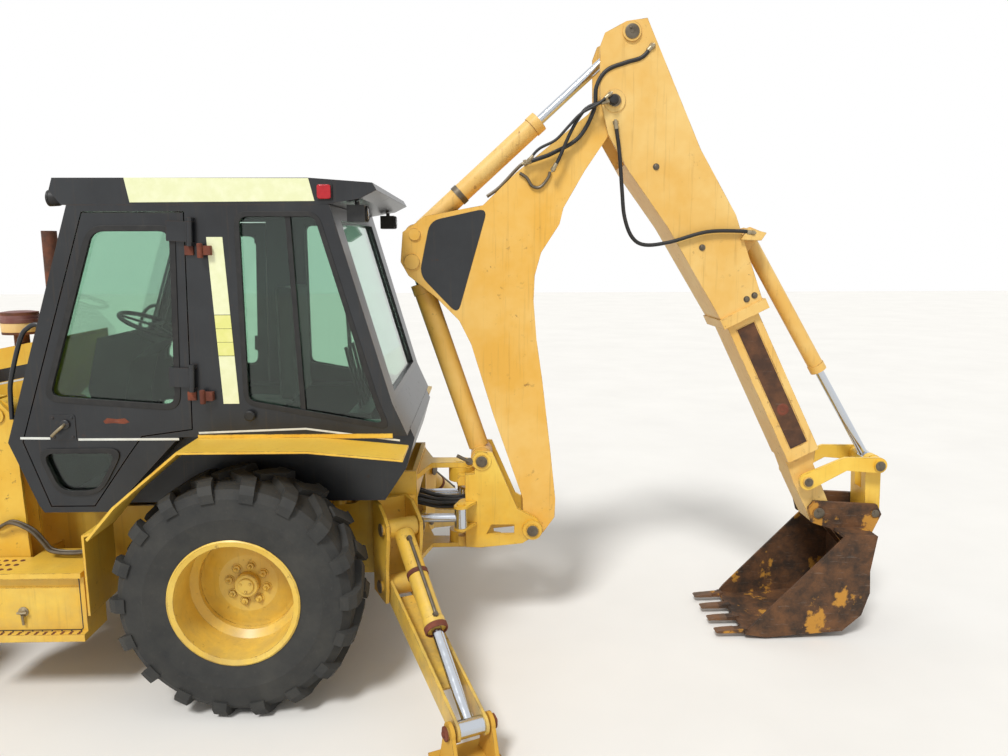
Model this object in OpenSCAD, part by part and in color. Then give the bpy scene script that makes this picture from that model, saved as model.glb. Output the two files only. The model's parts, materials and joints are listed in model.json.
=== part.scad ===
// Backhoe loader: front bucket, cab, rear digging arm and two stabilizer legs.
// X points forward, Y to the machine's left, Z up, in millimetres. The model is
// drawn with the rear axle at X = 0 and moved so that its box is centred on X = 0.

/* [Wheels] */
// Distance between the two axles
wheelbase = 2100; // [2000:10:2250]
// Outside diameter of a rear tyre, over the lugs
rear_tyre_d = 1245; // [1200:5:1290]
// Width of a rear tyre
rear_tyre_w = 445; // [400:5:460]
// Distance between the middles of the rear tyres
rear_track = 1710; // [1690:10:1760]
// Lugs on each shoulder of a rear tyre
rear_lugs = 18; // [14:1:20]
// Height of a rear tyre's lugs
lug_h = 36; // [24:1:40]
// Outside diameter of a front tyre
front_tyre_d = 830; // [800:5:850]
// Width of a front tyre
front_tyre_w = 290; // [270:5:300]
// Distance between the middles of the front tyres
front_track = 1760; // [1740:10:1800]
// Distance between the two kingpins
kingpin_span = 1300; // [1260:10:1320]

/* [Frame] */
// Distance over the frame's side plates
frame_w = 700; // [660:10:720]
// Thickness of the frame's side plates
frame_t = 25; // [16:1:30]
// Sheet thickness of hood, fenders and tanks
sheet_t = 12; // [6:1:16]

/* [Cab] */
// Width of the cab over its side walls
cab_w = 1510; // [1460:10:1530]
// Depth of the cab's posts and wall frames
cab_t = 46; // [36:1:60]
// Thickness of the window glass
glass_t = 8; // [5:1:12]

/* [Loader] */
// Distance between the middles of the two loader arms
arm_span = 1200; // [1180:5:1220]
// Thickness of a loader arm
arm_t = 80; // [70:2:84]
// Width of the loader bucket
bucket_w = 2262; // [2100:2:2400]
// Wall of the loader bucket
bucket_t = 16; // [10:1:20]
// Radius of the lift cylinders
lift_r = 45; // [40:1:46]
// Radius of the tilt cylinders
tilt_r = 40; // [32:1:42]

/* [Digging arm] */
// Width of the boom over its side plates
boom_w = 280; // [260:2:300]
// Thickness of the boom's side plates
boom_t = 16; // [10:1:20]
// Width of the outer stick over its side plates
stick_w = 340; // [330:2:360]
// Thickness of the outer stick's side plates
stick_t = 20; // [14:1:22]
// Depth of the sliding stick
slider_h = 200; // [180:5:210]
// Width of the digging bucket
hoe_w = 610; // [560:10:700]
// Wall of the digging bucket
hoe_t = 16; // [10:1:22]
// Radius of the boom cylinder
boom_cyl_r = 62; // [50:1:66]
// Radius of the stick cylinder
stick_cyl_r = 56; // [46:1:60]
// Radius of the bucket cylinder
bucket_cyl_r = 46; // [38:1:50]
// Angle of the sliding stick from the upright
stick_lean = 26.3; // [24:0.1:28]

/* [Stabilizers] */
// Angle by which the legs are raked to the rear
leg_rake = 24; // [20:1:26]
// Length of a leg between its pins
leg_l = 1044; // [1000:2:1060]
// Radius of a leg's cylinder
leg_cyl_r = 52; // [44:1:56]
// Width of a pad along the leg
pad_w = 300; // [240:10:340]

/* [Fits] */
// Radial play of a pin in its eye
fit = 0.4; // [0.2:0.1:0.8]
// Side play of an eye between its ears
side = 0.5; // [0.3:0.1:1]
// Gap between pieces that pass each other
gap = 6; // [5:0.5:8]
// Gap where one fixed piece rests on another
seat = 0.3; // [0.2:0.05:0.5]
// Radius of the tow pin's hole in the bumper weight
tow_pin_r = 16.05; // [12:0.05:20]

/* [Hidden] */
$fn = 48;

yellow = "#E9B84F";
faded = "#F0CF8A";
black = "#1B1D20";
rubber = "#2B2D2E";
chrome = "#C9CCD0";
steel = "#6B4A2E";
engine_paint = "#8A7A3A";
tint = "#9FC4B8";
seat_cloth = "#3A3A3A";
lamp_glass = "#E8E8E0";

// The hood fills the room between the tilt cylinders
hood_w = arm_span - 340;
rear_r = rear_tyre_d / 2;
front_r = front_tyre_d / 2;

// Heights and places on the chassis
axle_pin_z = 470;
tow_pin_x = 2635;
swing_y = 250;
swing_z = 775;
hinge_z = [1708, 2438];
// Exhaust and air cleaner: X, Y, radius, height, radius and height of the head
stack_feet = [[1440, -260, 38, 700, 44, 500], [1424, 160, 40, 232, 98, 125]];

// Points in the X-Z plane: the loader
arm_pivot = [1300, 1500];
arm_foot = [3150, 230];
lever_pivot = [2760, 811];
lever_l = 330;
lever_lean = 76;
lever_top = lever_pivot + lever_l * [cos(lever_lean), sin(lever_lean)];
bucket_top_pin = arm_foot + lever_l * [cos(lever_lean), sin(lever_lean)];
tilt_base = [1562, 1660];
lift_base = [1300, 640];
lift_eye = [2250, 1130];
arm_y0 = arm_span / 2 - arm_t / 2;
arm_y1 = arm_span / 2 + arm_t / 2;
// Room at each side of an arm in its tower, and the tower's plates
tower_room = 10;
tower_t = 20;
tower_in = arm_y0 - tower_room - tower_t;
tower_out = arm_y1 + tower_room;
// Inner side of the lockers beside the towers, and their width
tank_in = tower_out + tower_t + 10;
tank_w = 200;

// The digging arm
swing_x = -1100;
boom_foot = [-1530, 667];
boom_cyl_base = [-1225, 1099];
boom_cyl_eye = [-830, 2280];
stick_cyl_base = [-848, 2436];
stick_pivot = [-1982, 3169];
stick_cyl_eye = [-2072, 3535];
lever_pin = [-3205, 952];
bucket_pin = [-3298, 742];
link_pin = [-3635, 1050];
ear_pin = [-3648, 737];
bucket_cyl_base = [-2812, 2425];
// Along the stick, and square to it towards the rear
along_stick = [-sin(stick_lean), -cos(stick_lean)];
off_stick = [-cos(stick_lean), sin(stick_lean)];
slider_w = stick_w - 2 * stick_t - 2 * gap;
// Inner side of the bucket's levers, which pass the sliding stick
lever_y = slider_w / 2 + gap;

// The stabilizers, in the plane of a leg: outward and up
leg_root = [-765, 550];
leg_pin = [0, 500];
leg_end = [leg_l * cos(16.7), 500 - leg_l * sin(16.7)];
leg_cyl_pin = [50, 845];

// Ends of the machine in the rear-axle frame, which place its box on X = 0
lip_x = wheelbase + 2005;
tail_x = ear_pin[0] - 46;
middle_x = (lip_x + tail_x) / 2;

function unit(v) = v / norm(v);
function square_to(v) = [-v[1], v[0]] / norm(v);
// A clockwise outline moved out by d, each edge along its own normal
function grown(p, d) = let (n = len(p)) [for (i = [0:n - 1])
  let (u = square_to(p[i] - p[(i + n - 1) % n]), v = square_to(p[(i + 1) % n] - p[i]))
  p[i] + d * (u + v) / (1 + u * v)];
// Lines of the hood and the grille
function hood_top(x) = 1862 - (x - 1190) * 262 / 1330;
function hood_under(x) = hood_top(x) - sheet_t - 2;
function grille_x(z) = 2640 - max(z - 1100, 0) * 44 / 430;

// Solids built on an outline in the X-Z plane, from y0 to y1
module slab(y0, y1) translate([0, y1, 0]) rotate([90, 0, 0]) linear_extrude(y1 - y0) children();
module plate(outline, y0, y1) slab(y0, y1) polygon(outline);
module bar_y(p, r, y0, y1) slab(y0, y1) translate(p) circle(r);
module eye_y(p, r, bore, y0, y1) slab(y0, y1) translate(p) difference() {
  circle(r);
  circle(bore);
}
module both_sides() {
  children();
  mirror([0, 1, 0]) children();
}
// A flat bar between two points, with a round at each end
module strap(a, b, ra, rb) {
  n = square_to(b - a);
  translate(a) circle(ra);
  translate(b) circle(rb);
  polygon([a + ra * n, b + rb * n, b - rb * n, a - ra * n]);
}
// Children drawn along +X from p towards q, in the plane Y = y
module aim(p, q, y) translate([p[0], y, p[1]])
  rotate([0, -atan2(q[1] - p[1], q[0] - p[0]), 0]) children();

// A hydraulic cylinder between two pins: tube length, tube radius, rod radius,
// length of its base eye along the pin, pin radius
module barrel(p, q, y, tube, r, rod_r, eye_w, pin_r) aim(p, q, y) difference() {
  union() {
    rotate([90, 0, 0]) translate([0, 0, -eye_w / 2]) cylinder(r = pin_r * 1.75, h = eye_w);
    rotate([0, 90, 0]) translate([0, 0, pin_r]) cylinder(r = r * 0.72, h = r);
    rotate([0, 90, 0]) translate([0, 0, pin_r * 1.5]) cylinder(r = r, h = tube - pin_r * 1.5);
    rotate([0, 90, 0]) translate([0, 0, tube - r]) cylinder(r = r * 1.09, h = r);
  }
  rotate([90, 0, 0]) translate([0, 0, -eye_w / 2 - 1]) cylinder(r = pin_r + fit, h = eye_w + 2);
  rotate([0, 90, 0]) translate([0, 0, pin_r * 2.2 + 12])
    cylinder(r = rod_r + fit, h = tube);
}
// Its rod, from inside the tube to the eye at q
module rod(p, q, y, start, rod_r, eye_w, eye_r) aim(p, q, y) {
  span = norm(q - p);
  rotate([0, 90, 0]) translate([0, 0, start]) cylinder(r = rod_r, h = span - start);
  translate([span, 0, 0]) rotate([90, 0, 0]) translate([0, 0, -eye_w / 2])
    cylinder(r = eye_r, h = eye_w);
}

// Wheels, drawn with the axle along Z and the outer face up
module lug(side_sign) {
  outline = [[145, 10], [57, 120], [35, 226], [-35, 226], [-7, 90], [95, -30]];
  k = rear_tyre_w / 445;
  mirror([0, 0, side_sign < 0 ? 1 : 0]) rotate([90, 0, 90])
    translate([0, 0, rear_r - 100]) linear_extrude(104)
    polygon([for (p = outline) [p[0], p[1] * k]]);
}
module rear_tyre() {
  r = rear_r;
  h = rear_tyre_w / 2;
  b = r - lug_h;
  color(rubber) {
    rotate_extrude($fn = 72) polygon([
      [305.5, -186], [330, -203], [440, -h + 2], [b - 48, -h + 12], [b - 8, -h + 48],
      [b, -h + 90], [b, h - 90], [b - 8, h - 48], [b - 48, h - 12], [440, h - 2],
      [330, 203], [305.5, 186]]);
    intersection() {
      for (i = [0:rear_lugs - 1]) {
        rotate(i * 360 / rear_lugs) lug(1);
        rotate((i + 0.5) * 360 / rear_lugs) lug(-1);
      }
      rotate_extrude($fn = 72) polygon([
        [r - 95, -h], [r - 52, -h], [r - 14, -h + 26], [r, -h + 70],
        [r, h - 70], [r - 14, h - 26], [r - 52, h], [r - 95, h]]);
    }
  }
}
module rear_rim() color(yellow) {
  rotate_extrude($fn = 72) polygon([
    [322, -206], [322, -200], [305, -196], [305, -120], [268, -104], [268, -40],
    [305, -20], [305, 196], [322, 200], [330, 206], [322, 212], [296, 206],
    [294, -12], [258, -44], [258, -106], [294, -128], [296, -206], [322, -212]]);
  rotate_extrude($fn = 72) polygon([
    [0, -60], [150, -60], [234, -86], [258, -92], [262, -92], [262, -76], [238, -72],
    [154, -45], [0, -45]]);
  translate([0, 0, -46]) cylinder(r = 64, h = 34);
  translate([0, 0, -170]) cylinder(r = 60, h = 120);
}
module front_tyre() color(rubber) rotate_extrude($fn = 64) {
  r = front_r;
  h = front_tyre_w / 2;
  polygon([
    [204, -110], [226, -122], [300, -h], [r - 40, -h + 6], [r - 12, -h + 24],
    [r, -h + 42], [r, -74], [r - 14, -70], [r - 14, -56], [r, -52],
    [r + 0, -9], [r - 14, -7], [r - 14, 7], [r, 9],
    [r, 52], [r - 14, 56], [r - 14, 70], [r, 74],
    [r, h - 42], [r - 12, h - 24], [r - 40, h - 6], [300, h], [226, 122], [204, 110]]);
}
module front_rim() color(yellow) {
  rotate_extrude($fn = 64) polygon([
    [216, -124], [216, -118], [203, -114], [203, -60], [180, -50], [180, 20], [203, 32],
    [203, 114], [216, 118], [224, 123], [216, 128], [196, 124], [194, 38], [170, 26],
    [170, -56], [194, -66], [196, -124], [216, -130]]);
  difference() {
    rotate_extrude($fn = 64) polygon([
      [0, 4], [110, 4], [172, -14], [176, -14], [176, 0], [114, 18], [0, 18]]);
    for (i = [0:4]) rotate(i * 72) translate([142, 0, -30]) cylinder(r = 12, h = 60);
  }
  translate([0, 0, 17]) cylinder(r = 52, h = 62);
  difference() {
    translate([0, 0, -36]) cylinder(r = 80, h = 41);
    translate([0, 0, -37]) cylinder(r = 40 + fit, h = 29);
  }
}
module at_wheel(x, y, z) translate([x, y, z]) mirror([0, y < 0 ? 1 : 0, 0]) rotate([-90, 0, 0])
  children();

// The chassis
module main_frame() color(yellow) {
  inside = frame_w / 2 - frame_t;
  saddle = rear_r + 90 + seat;
  rail = [[-850, 1090], [-850, 480], [-300, 480], [-170, saddle], [170, saddle], [300, 480],
    [1480, 480], [1560, 560], [2600, 560], [2600, 760], [1560, 760], [1400, 900],
    [-480, 900], [-650, 985], [-720, 1000], [-780, 1090]];
  both_sides() plate(rail, inside, frame_w / 2);
  rear_frame(inside - seat);
  loader_towers();
  // Cross plates and the bolster: X, thickness, low Z, top Z
  for (c = [[520, 20, 480, 560 - seat], [1380, 20, 480, 560 - seat], [2575, 25, 560, 760],
    [wheelbase - 90, 180, 560, 640 - seat]])
    translate([c[0], -inside + seat, c[2]]) cube([c[1], 2 * (inside - seat), c[3] - c[2]]);
  // Firewall and radiator support, which carry the hood
  w = hood_w / 2 - sheet_t - seat;
  for (c = [[1214, 900 + seat, hood_under(1230)], [2500, 760 + seat, hood_under(2516)]])
    translate([c[0], -w, c[1]]) cube([16, 2 * w, c[2] - seat - c[1]]);
  // Ears and pin of the front axle
  for (x = [-80 - side - 24, 80 + side]) translate([wheelbase + x, -80, axle_pin_z - 60])
    cube([24, 160, 561 - axle_pin_z + 60]);
  translate([wheelbase - 115, 0, axle_pin_z]) rotate([0, 90, 0]) cylinder(r = 30, h = 230);
  // Posts under the cab
  for (x = [-400, 900]) both_sides() translate([x, inside + frame_t / 2, 900 + seat])
    cylinder(r = 40, h = 100 - 2 * seat);
  // Bumper weight with a tow pin's hole
  difference() {
    translate([2600 + seat, -hood_w / 2 + 30, 540]) cube([70 - seat, hood_w - 60, 200]);
    translate([tow_pin_x, 0, 500]) cylinder(r = tow_pin_r, h = 300);
  }
}
module rear_frame(inside) {
  // Rear plate with its window, and the bulkhead with the two swing cylinders
  difference() {
    translate([-850, -inside, 480]) cube([25, 2 * inside, 610]);
    translate([-860, -300, 640]) cube([40, 600, 280]);
  }
  difference() {
    union() {
      translate([-480, -inside, 640]) cube([20, 2 * inside, 250]);
      both_sides() translate([-800, swing_y, swing_z]) rotate([0, 90, 0]) cylinder(r = 46, h = 580);
    }
    both_sides() translate([-801, swing_y, swing_z]) rotate([0, 90, 0])
      cylinder(r = 26 + fit, h = 560);
  }
  // Upper and lower lugs that hold the swing post
  for (z = [[1030, 32], [520, 28]]) translate([0, 0, z[0]]) linear_extrude(z[1]) difference() {
    union() {
      polygon([[-850 - seat, -inside], [-850 - seat, inside], [-918, 66], [swing_x, 60],
        [swing_x, -60], [-918, -66]]);
      translate([swing_x, 0]) circle(64);
    }
    translate([swing_x, 0]) circle(45 + fit);
  }
  both_sides() {
    // Clevis of a leg and its cylinder, and the two plates that tie it to the frame
    translate([leg_root[0], leg_root[1], 0]) rotate(90 + leg_rake) leg_clevis();
    for (z = [480, 930]) translate([0, 0, z]) linear_extrude(20)
      polygon([[-840, frame_w / 2 + seat], [-600, frame_w / 2 + seat], [-606, 446],
        [-795, 362]]);
  }
}
module leg_clevis() {
  post = [[-160, 420], [60, 420], [75, 500], [75, 620], [110, 800], [110, 880], [60, 915],
    [-40, 960], [-160, 960]];
  for (s = [-1, 1]) plate(post, s * 94 - 10, s * 94 + 10);
  for (p = [leg_pin, leg_cyl_pin]) bar_y(p, 30, -116, 116);
  translate([-160, -104, 420]) cube([20, 208, 540]);
}
module loader_towers() both_sides() {
  tower = [[1190, 480], [1420, 480], [1440, 700], [1390, 1500], [1300, 1595], [1215, 1500],
    [1200, 900]];
  for (y = [tower_in, tower_out]) plate(tower, y, y + tower_t);
  // Ties to the rail and between the two plates, the two pins and their heads
  for (y = [[frame_w / 2, tower_in], [tower_in + tower_t, tower_out]])
    translate([1190, y[0] + seat, 480]) cube([16, y[1] - y[0] - 2 * seat, 220]);
  for (p = [arm_pivot, lift_base]) {
    bar_y(p, p == arm_pivot ? 35 : 30, tower_in + tower_t + seat, tower_out - seat);
    bar_y(p, 42, tower_out + tower_t + seat, tower_out + tower_t + 9);
  }
}
module drivetrain() color(engine_paint) {
  translate([1500, -240, 640]) cube([800, 480, 600]);
  translate([480, -170, 560]) cube([1030, 340, 320]);
  translate([200 + seat, 0, rear_r]) rotate([0, 90, 0]) cylinder(r = 35, h = 300);
}
module hood() color(yellow) difference() {
  t = sheet_t;
  slab(-hood_w / 2, hood_w / 2) polygon([[1212, hood_top(1212)], [2520, hood_top(2520)],
    [2620, 1540], [2650, 1100], [1480, 1000], [1212, 1000]]);
  slab(-hood_w / 2 + t, hood_w / 2 - t) polygon([[1180, hood_under(1180)],
    [2516, hood_under(2516)], [2610, 1532], [2610, 1450], [2720, 1450], [2720, 900],
    [1180, 900]]);
  for (s = stack_feet) translate([s[0], s[1], 1600]) cylinder(r = s[2] + fit, h = 300);
}
module grille() color(black) {
  w = hood_w / 2 - sheet_t - seat;
  low = 740 + seat;
  side_strip = [[2562, 1556], [2596, 1530], [2640, 1100], [2640, low], [2600, low], [2600, 1090]];
  plate(side_strip, -w, -w + 24);
  plate(side_strip, w - 24, w);
  for (i = [0:13]) translate([grille_x(790 + i * 50) - 30, -w, 790 + i * 50])
    cube([16, 2 * w, 14]);
  translate([2602, -w, low]) cube([30, 2 * w, 20]);
}
module front_axle() color(yellow) {
  z = front_r;
  half = kingpin_span / 2;
  difference() {
    union() {
      translate([wheelbase - 55, -half + 60, z - 50]) cube([110, 2 * half - 120, 100]);
      translate([wheelbase - 80, -62, z - 40]) cube([160, 124, 150]);
      both_sides() {
        translate([wheelbase, half, z - 60]) cylinder(r = 55, h = 120);
        translate([wheelbase - 50, half - 90, z - 45]) cube([100, 90, 90]);
      }
    }
    both_sides() translate([wheelbase, half, z - 100]) cylinder(r = 30 + fit, h = 200);
    translate([wheelbase - 100, 0, axle_pin_z]) rotate([0, 90, 0])
      cylinder(r = 30 + fit, h = 200);
  }
  // Steering cylinder on the back of the beam
  translate([wheelbase - 150, -230, z + 10]) rotate([-90, 0, 0]) cylinder(r = 32, h = 460);
  translate([wheelbase - 150, -330, z + 10]) rotate([-90, 0, 0]) cylinder(r = 16, h = 660);
  both_sides() translate([wheelbase - 160, 190, z - 20]) cube([110, 24, 60]);
}
module knuckle() color(yellow) {
  z = front_r;
  half = kingpin_span / 2;
  reach = front_track / 2 - half;
  for (low = [60 + side, -60 - side - 28]) translate([wheelbase - 50, half - 50, z + low])
    cube([100, 110 + (reach - 100) / 2, 28]);
  translate([wheelbase, half, z - 95]) cylinder(r = 30, h = 190);
  translate([wheelbase - 50, half + 60, z - 88]) cube([100, reach - 100, 176]);
  translate([wheelbase, half + 60, z]) rotate([-90, 0, 0]) cylinder(r = 40, h = reach - 70);
  translate([wheelbase - 190, half - 20, z - 104]) cube([160, 44, 24]);
}
module rear_axle() color(yellow) difference() {
  end = rear_track / 2 - 60 - gap;
  union() {
    translate([0, 0, rear_r]) rotate([-90, 0, 0]) {
      translate([0, 0, -end]) cylinder(r = 85, h = 2 * end);
      translate([0, 0, -110]) cylinder(r = 200, h = 220);
      for (s = [0, 1]) mirror([0, 0, s]) {
        translate([0, 0, 110]) cylinder(r1 = 200, r2 = 110, h = 120);
        translate([0, 0, end - 190]) cylinder(r = 150, h = 150);
        translate([0, 0, end - 40]) cylinder(r = 110, h = 40);
      }
    }
    both_sides() translate([-90, frame_w / 2 - 50, rear_r + 40]) cube([180, 50, 50]);
  }
  both_sides() translate([0, end - 130, rear_r]) rotate([-90, 0, 0])
    cylinder(r = 60 + fit, h = 200);
}
module fenders() color(yellow) both_sides() {
  t = sheet_t;
  y0 = cab_w / 2 + seat;
  // Flat top over the tyre, sloped front, folded guard ahead of the tyre
  plate([[-850, 1346], [-390, 1392], [235, 1392], [560, 1120], [700, 960], [790, 930],
    [790, 500], [790 - t, 500], [790 - t, 920], [692, 948], [550, 1112], [230, 1392 - t],
    [-390, 1392 - t], [-850, 1346 - t]], y0, rear_track / 2 + 60);
  plate([[-850, 1346], [-390, 1392], [235, 1392], [560, 1120], [700, 960], [692, 948],
    [550, 1112], [230, 1392 - t], [-390, 1392 - t], [-850, 1346 - t]],
    rear_track / 2 + 59, rear_track / 2 + 195);
  plate([[790, 930], [790, 500], [790 - t, 500], [790 - t, 930]], 600, y0 + 1);
  plate([[-770, 1385], [-770, 1409], [230, 1409], [230, 1385]], y0, y0 + t / 2);
}
module side_tanks() color(yellow) both_sides() {
  y1 = tank_in + tank_w;
  // Locker or tank body, the tread on top and the low step
  difference() {
    translate([815, tank_in, 400]) cube([680, tank_w, 301]);
    translate([835, y1 - 14, 640]) cube([640, 30, 50]);
  }
  translate([815, 560, 700]) cube([360, y1 - 530, 28]);
  translate([1174, tank_in, 700]) cube([321, tank_w + 30, 28]);
  translate([815, tank_in, 362]) cube([680, tank_w + 40, 39]);
  translate([815, frame_w / 2 + seat, 480]) cube([300, tank_in + 1 - frame_w / 2 - seat, 60]);
}

// The cab. Outer outline of the side wall, from the front low corner
door_outline = [[235, 2532], [728, 2532], [1122, 1380], [1010, 1036], [790, 1036],
  [600, 1300], [520, 1405], [262, 1440]];
door_window = [[300, 2450], [690, 2450], [975, 1610], [330, 1560]];
foot_window = [[640, 1325], [1040, 1325], [960, 1110], [760, 1110]];
side_window = [[-30, 1580], [-735, 1450], [-690, 1560], [-415, 2520], [-30, 2520]];
hinge_lean = 2.75;
function front_x(z) = 1202 - (z - 1374) * 401 / 1196;
function rear_x(z) = -485 - (2570 - z) * 285 / 1001;
module at_hinge(z) translate([246 - (z - 1430) * tan(hinge_lean), 785, z])
  rotate([0, -hinge_lean, 0]) children();
module cab_frame() color(black) {
  half = cab_w / 2;
  t = cab_t;
  tub = 600;
  difference() {
    union() {
      slab(-half, half) polygon([[1050, 1000], [1076, 1041], [1202, 1374], [801, 2570],
        [-485, 2570], [-770, 1569], [-845, 1397], [330, 1397], [690, 1020], [720, 1000]]);
      slab(-tub, tub) polygon([[1050, 1000], [-700, 1000], [-820, 1180],
        [-868, 1346], [-845, 1400], [600, 1400]]);
    }
    slab(-half + t, half - t) polygon([[1030, 1045], [1150, 1374], [770, 2600],
      [-450, 2600], [-720, 1569], [-795, 1397 + t], [330 + t, 1397 + t], [740, 1045]]);
    slab(-tub + t, tub - t) polygon([[1000, 1045], [-680, 1045], [-780, 1200],
      [-815, 1346], [-760, 1500], [1000, 1500]]);
    both_sides() slab(half - t - 10, half + 10) {
      polygon(grown(door_outline, gap));
      polygon(side_window);
    }
    slab(-half + 70, half - 70) polygon([[1300, 1440], [900, 2520], [600, 2520], [900, 1440]]);
    slab(-half + 190, half - 190) polygon([[-400, 2500], [-1000, 2500], [-1000, 1600],
      [-600, 1600]]);
  }
  // Hinge pins of the doors, each between two lugs
  both_sides() for (z = hinge_z) at_hinge(z) {
    translate([0, 0, -70]) cylinder(r = 8, h = 140);
    for (low = [-70, 50]) translate([0, 0, low]) {
      cylinder(r = 14, h = 20);
      translate([-14, -34, 0]) cube([28, 34, 20]);
    }
  }
}
module cab_roof() color(black)
  plate([[860, 2700], [880, 2640], [826, 2570 + seat], [-470, 2570 + seat], [-640, 2600],
    [-720, 2640], [-700, 2676], [-380, 2700]], -cab_w / 2, cab_w / 2);
module cab_glass() color(tint, 0.35) {
  half = cab_w / 2;
  pane = half - 30;
  both_sides() slab(pane, pane + glass_t) polygon(grown(side_window, -seat));
  slab(-half + 70 + seat, half - 70 - seat) pane_outline(front_x(1440 + seat), 1440 + seat,
    front_x(2520 - seat), 2520 - seat, -1);
  slab(-half + 190 + seat, half - 190 - seat) pane_outline(rear_x(1600 + seat), 1600 + seat,
    rear_x(2500 - seat), 2500 - seat, 1);
}
// A leaning pane's section between two heights; s gives the way to the inside
module pane_outline(x0, z0, x1, z1, s) polygon([[x0 + s * 22, z0], [x0 + s * (22 + glass_t), z0],
  [x1 + s * (22 + glass_t), z1], [x1 + s * 22, z1]]);
module controls() color(black) {
  floor_z = 1045 + seat;
  hub = [735, 1910];
  foot = [810, 1740];
  // Dashboard on its console, steering column and wheel
  slab(-180, 180) polygon([[830, floor_z], [960, floor_z], [1010, 1300], [1060, 1560],
    [985, 1850], [800, 1890], [660, 1820], [790, 1720], [850, 1500]]);
  aim(foot, hub, 0) rotate([0, 90, 0]) cylinder(r = 22, h = norm(hub - foot) + 8);
  translate([hub[0], 0, hub[1]]) rotate([0, -22, 0]) {
    rotate_extrude($fn = 48) translate([190, 0]) circle(13, $fn = 16);
    for (a = [20, 160, 270]) rotate(a) translate([0, -12, -6]) cube([190, 24, 10]);
  }
  // Rear console with the digging arm's levers
  slab(-330, 330) polygon([[-600, floor_z], [-440, floor_z], [-430, 1300], [-470, 1430],
    [-600, 1430]]);
  for (y = [-180, -60, 60, 180]) aim([-520, 1420], [-440, 1790], y) rotate([0, 90, 0])
    cylinder(r = 10, h = 380, $fn = 16);
}
module operator_seat() color(seat_cloth) {
  translate([-120, -240, 1045 + seat]) cube([380, 480, 420]);
  translate([-150, -240, 1460]) cube([110, 480, 720]);
}
module stacks() color(steel) for (s = stack_feet) {
  translate([s[0], s[1], 1770]) cylinder(r = s[2], h = s[3]);
  translate([s[0], s[1], 1770 + s[3] - s[5]]) cylinder(r = s[4], h = s[5]);
}
module lamps() color(lamp_glass) both_sides() {
  translate([-650, 585, 2488]) cube([90, 110, 84]);
  translate([-605, 640, 2566]) cylinder(r = 12, h = 25.5);
}
module door(s) color(black) mirror([0, s, 0]) {
  half = cab_w / 2;
  difference() {
    slab(half - cab_t + 10, half) polygon(door_outline);
    slab(half - cab_t, half + 10) {
      polygon(door_window);
      polygon(foot_window);
    }
  }
  for (z = hinge_z) at_hinge(z) difference() {
    union() {
      translate([0, 0, side - 50]) cylinder(r = 14, h = 100 - 2 * side);
      translate([0, -29.5, side - 50]) cube([110, 17, 100 - 2 * side]);
      translate([75, -40, side - 50]) cube([45, 27.5, 100 - 2 * side]);
      translate([0, -29.5, side - 50]) cube([14, 29.5, 100 - 2 * side]);
    }
    translate([0, 0, -60]) cylinder(r = 8 + fit, h = 120);
  }
}
module door_glass(s) color(tint, 0.35) mirror([0, s, 0])
  slab(cab_w / 2 - 30, cab_w / 2 - 30 + glass_t) {
    polygon(grown(door_window, -seat));
    polygon(grown(foot_window, -seat));
  }

// The loader
module loader_arms() color(yellow) {
  arm = [[1300, 1590], [1480, 1600], [1500, 1700], [1562, 1725], [1624, 1700], [1640, 1572],
    [2350, 1370], [2690, 1130], [3200, 290], [3085, 170], [2560, 930], [2330, 1090],
    [1640, 1370], [1300, 1410]];
  both_sides() {
    difference() {
      union() {
        plate(arm, arm_y0, arm_y1);
        bar_y(arm_pivot, 80, arm_y0 - tower_room + side, arm_y1 + tower_room - side);
        bar_y(arm_foot, 80, arm_y0, arm_y1);
        bar_y(lift_eye, 62, arm_y0, arm_y1);
      }
      bar_y(arm_pivot, 35 + fit, arm_y0 - tower_room, arm_y1 + tower_room);
      // Forks for the bucket's ear and the lift cylinder's eye
      slab(arm_y0 + 12, arm_y1 - 12) translate(arm_foot) circle(176);
      slab(arm_y0 + 9, arm_y1 - 9) strap(lift_eye, lift_eye + [-176, 71], 118, 40);
    }
    bar_y(arm_foot, 28, arm_y0 - 8, arm_y1 + 8);
    bar_y(lift_eye, 26, arm_y1 - 9, arm_y1 + 10);
    bar_y(tilt_base, 26, arm_y0 - 110, arm_y0 + 4);
  }
  bar_y(lever_pivot, 50, -arm_y0 - 1, arm_y0 + 1);
}
module lift_barrels() color(yellow) both_sides()
  barrel(lift_base, lift_eye, arm_span / 2, 930, lift_r, 28, 2 * lift_r, 30);
module lift_rods() color(chrome) both_sides()
  rod(lift_base, lift_eye, arm_span / 2, 85, 28, arm_t - 18 - 2 * side, 48);
module tilt_levers() color(yellow) both_sides() {
  y = arm_y0 - 65;
  for (s = [-1, 1]) slab(y + s * 34 - 7.5, y + s * 34 + 7.5) difference() {
    strap(lever_pivot, lever_top, 85, 48);
    translate(lever_pivot) circle(50 + fit);
  }
  eye_y(lever_pivot, 68, 50 + fit, y - 41, y + 41);
  for (s = [-1, 1]) bar_y(lever_top, 24, y + s * 41.5 - 12.5, y + s * 41.5 + 12.5);
}
module tilt_links() color(yellow) both_sides() {
  y = arm_y0 - 65;
  for (s = [-1, 1]) slab(y + s * 48.5 - 6, y + s * 48.5 + 6) difference() {
    strap(lever_top, bucket_top_pin, 46, 46);
    translate(lever_top) circle(24 + fit);
    translate(bucket_top_pin) circle(24 + fit);
  }
}
module tilt_barrels() color(yellow) both_sides()
  barrel(tilt_base, lever_top, arm_y0 - 65, 960, tilt_r, 24, 60, 26);
module tilt_rods() color(chrome) both_sides()
  rod(tilt_base, lever_top, arm_y0 - 65, 300, 24, 53 - 2 * side, 42);
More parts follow.
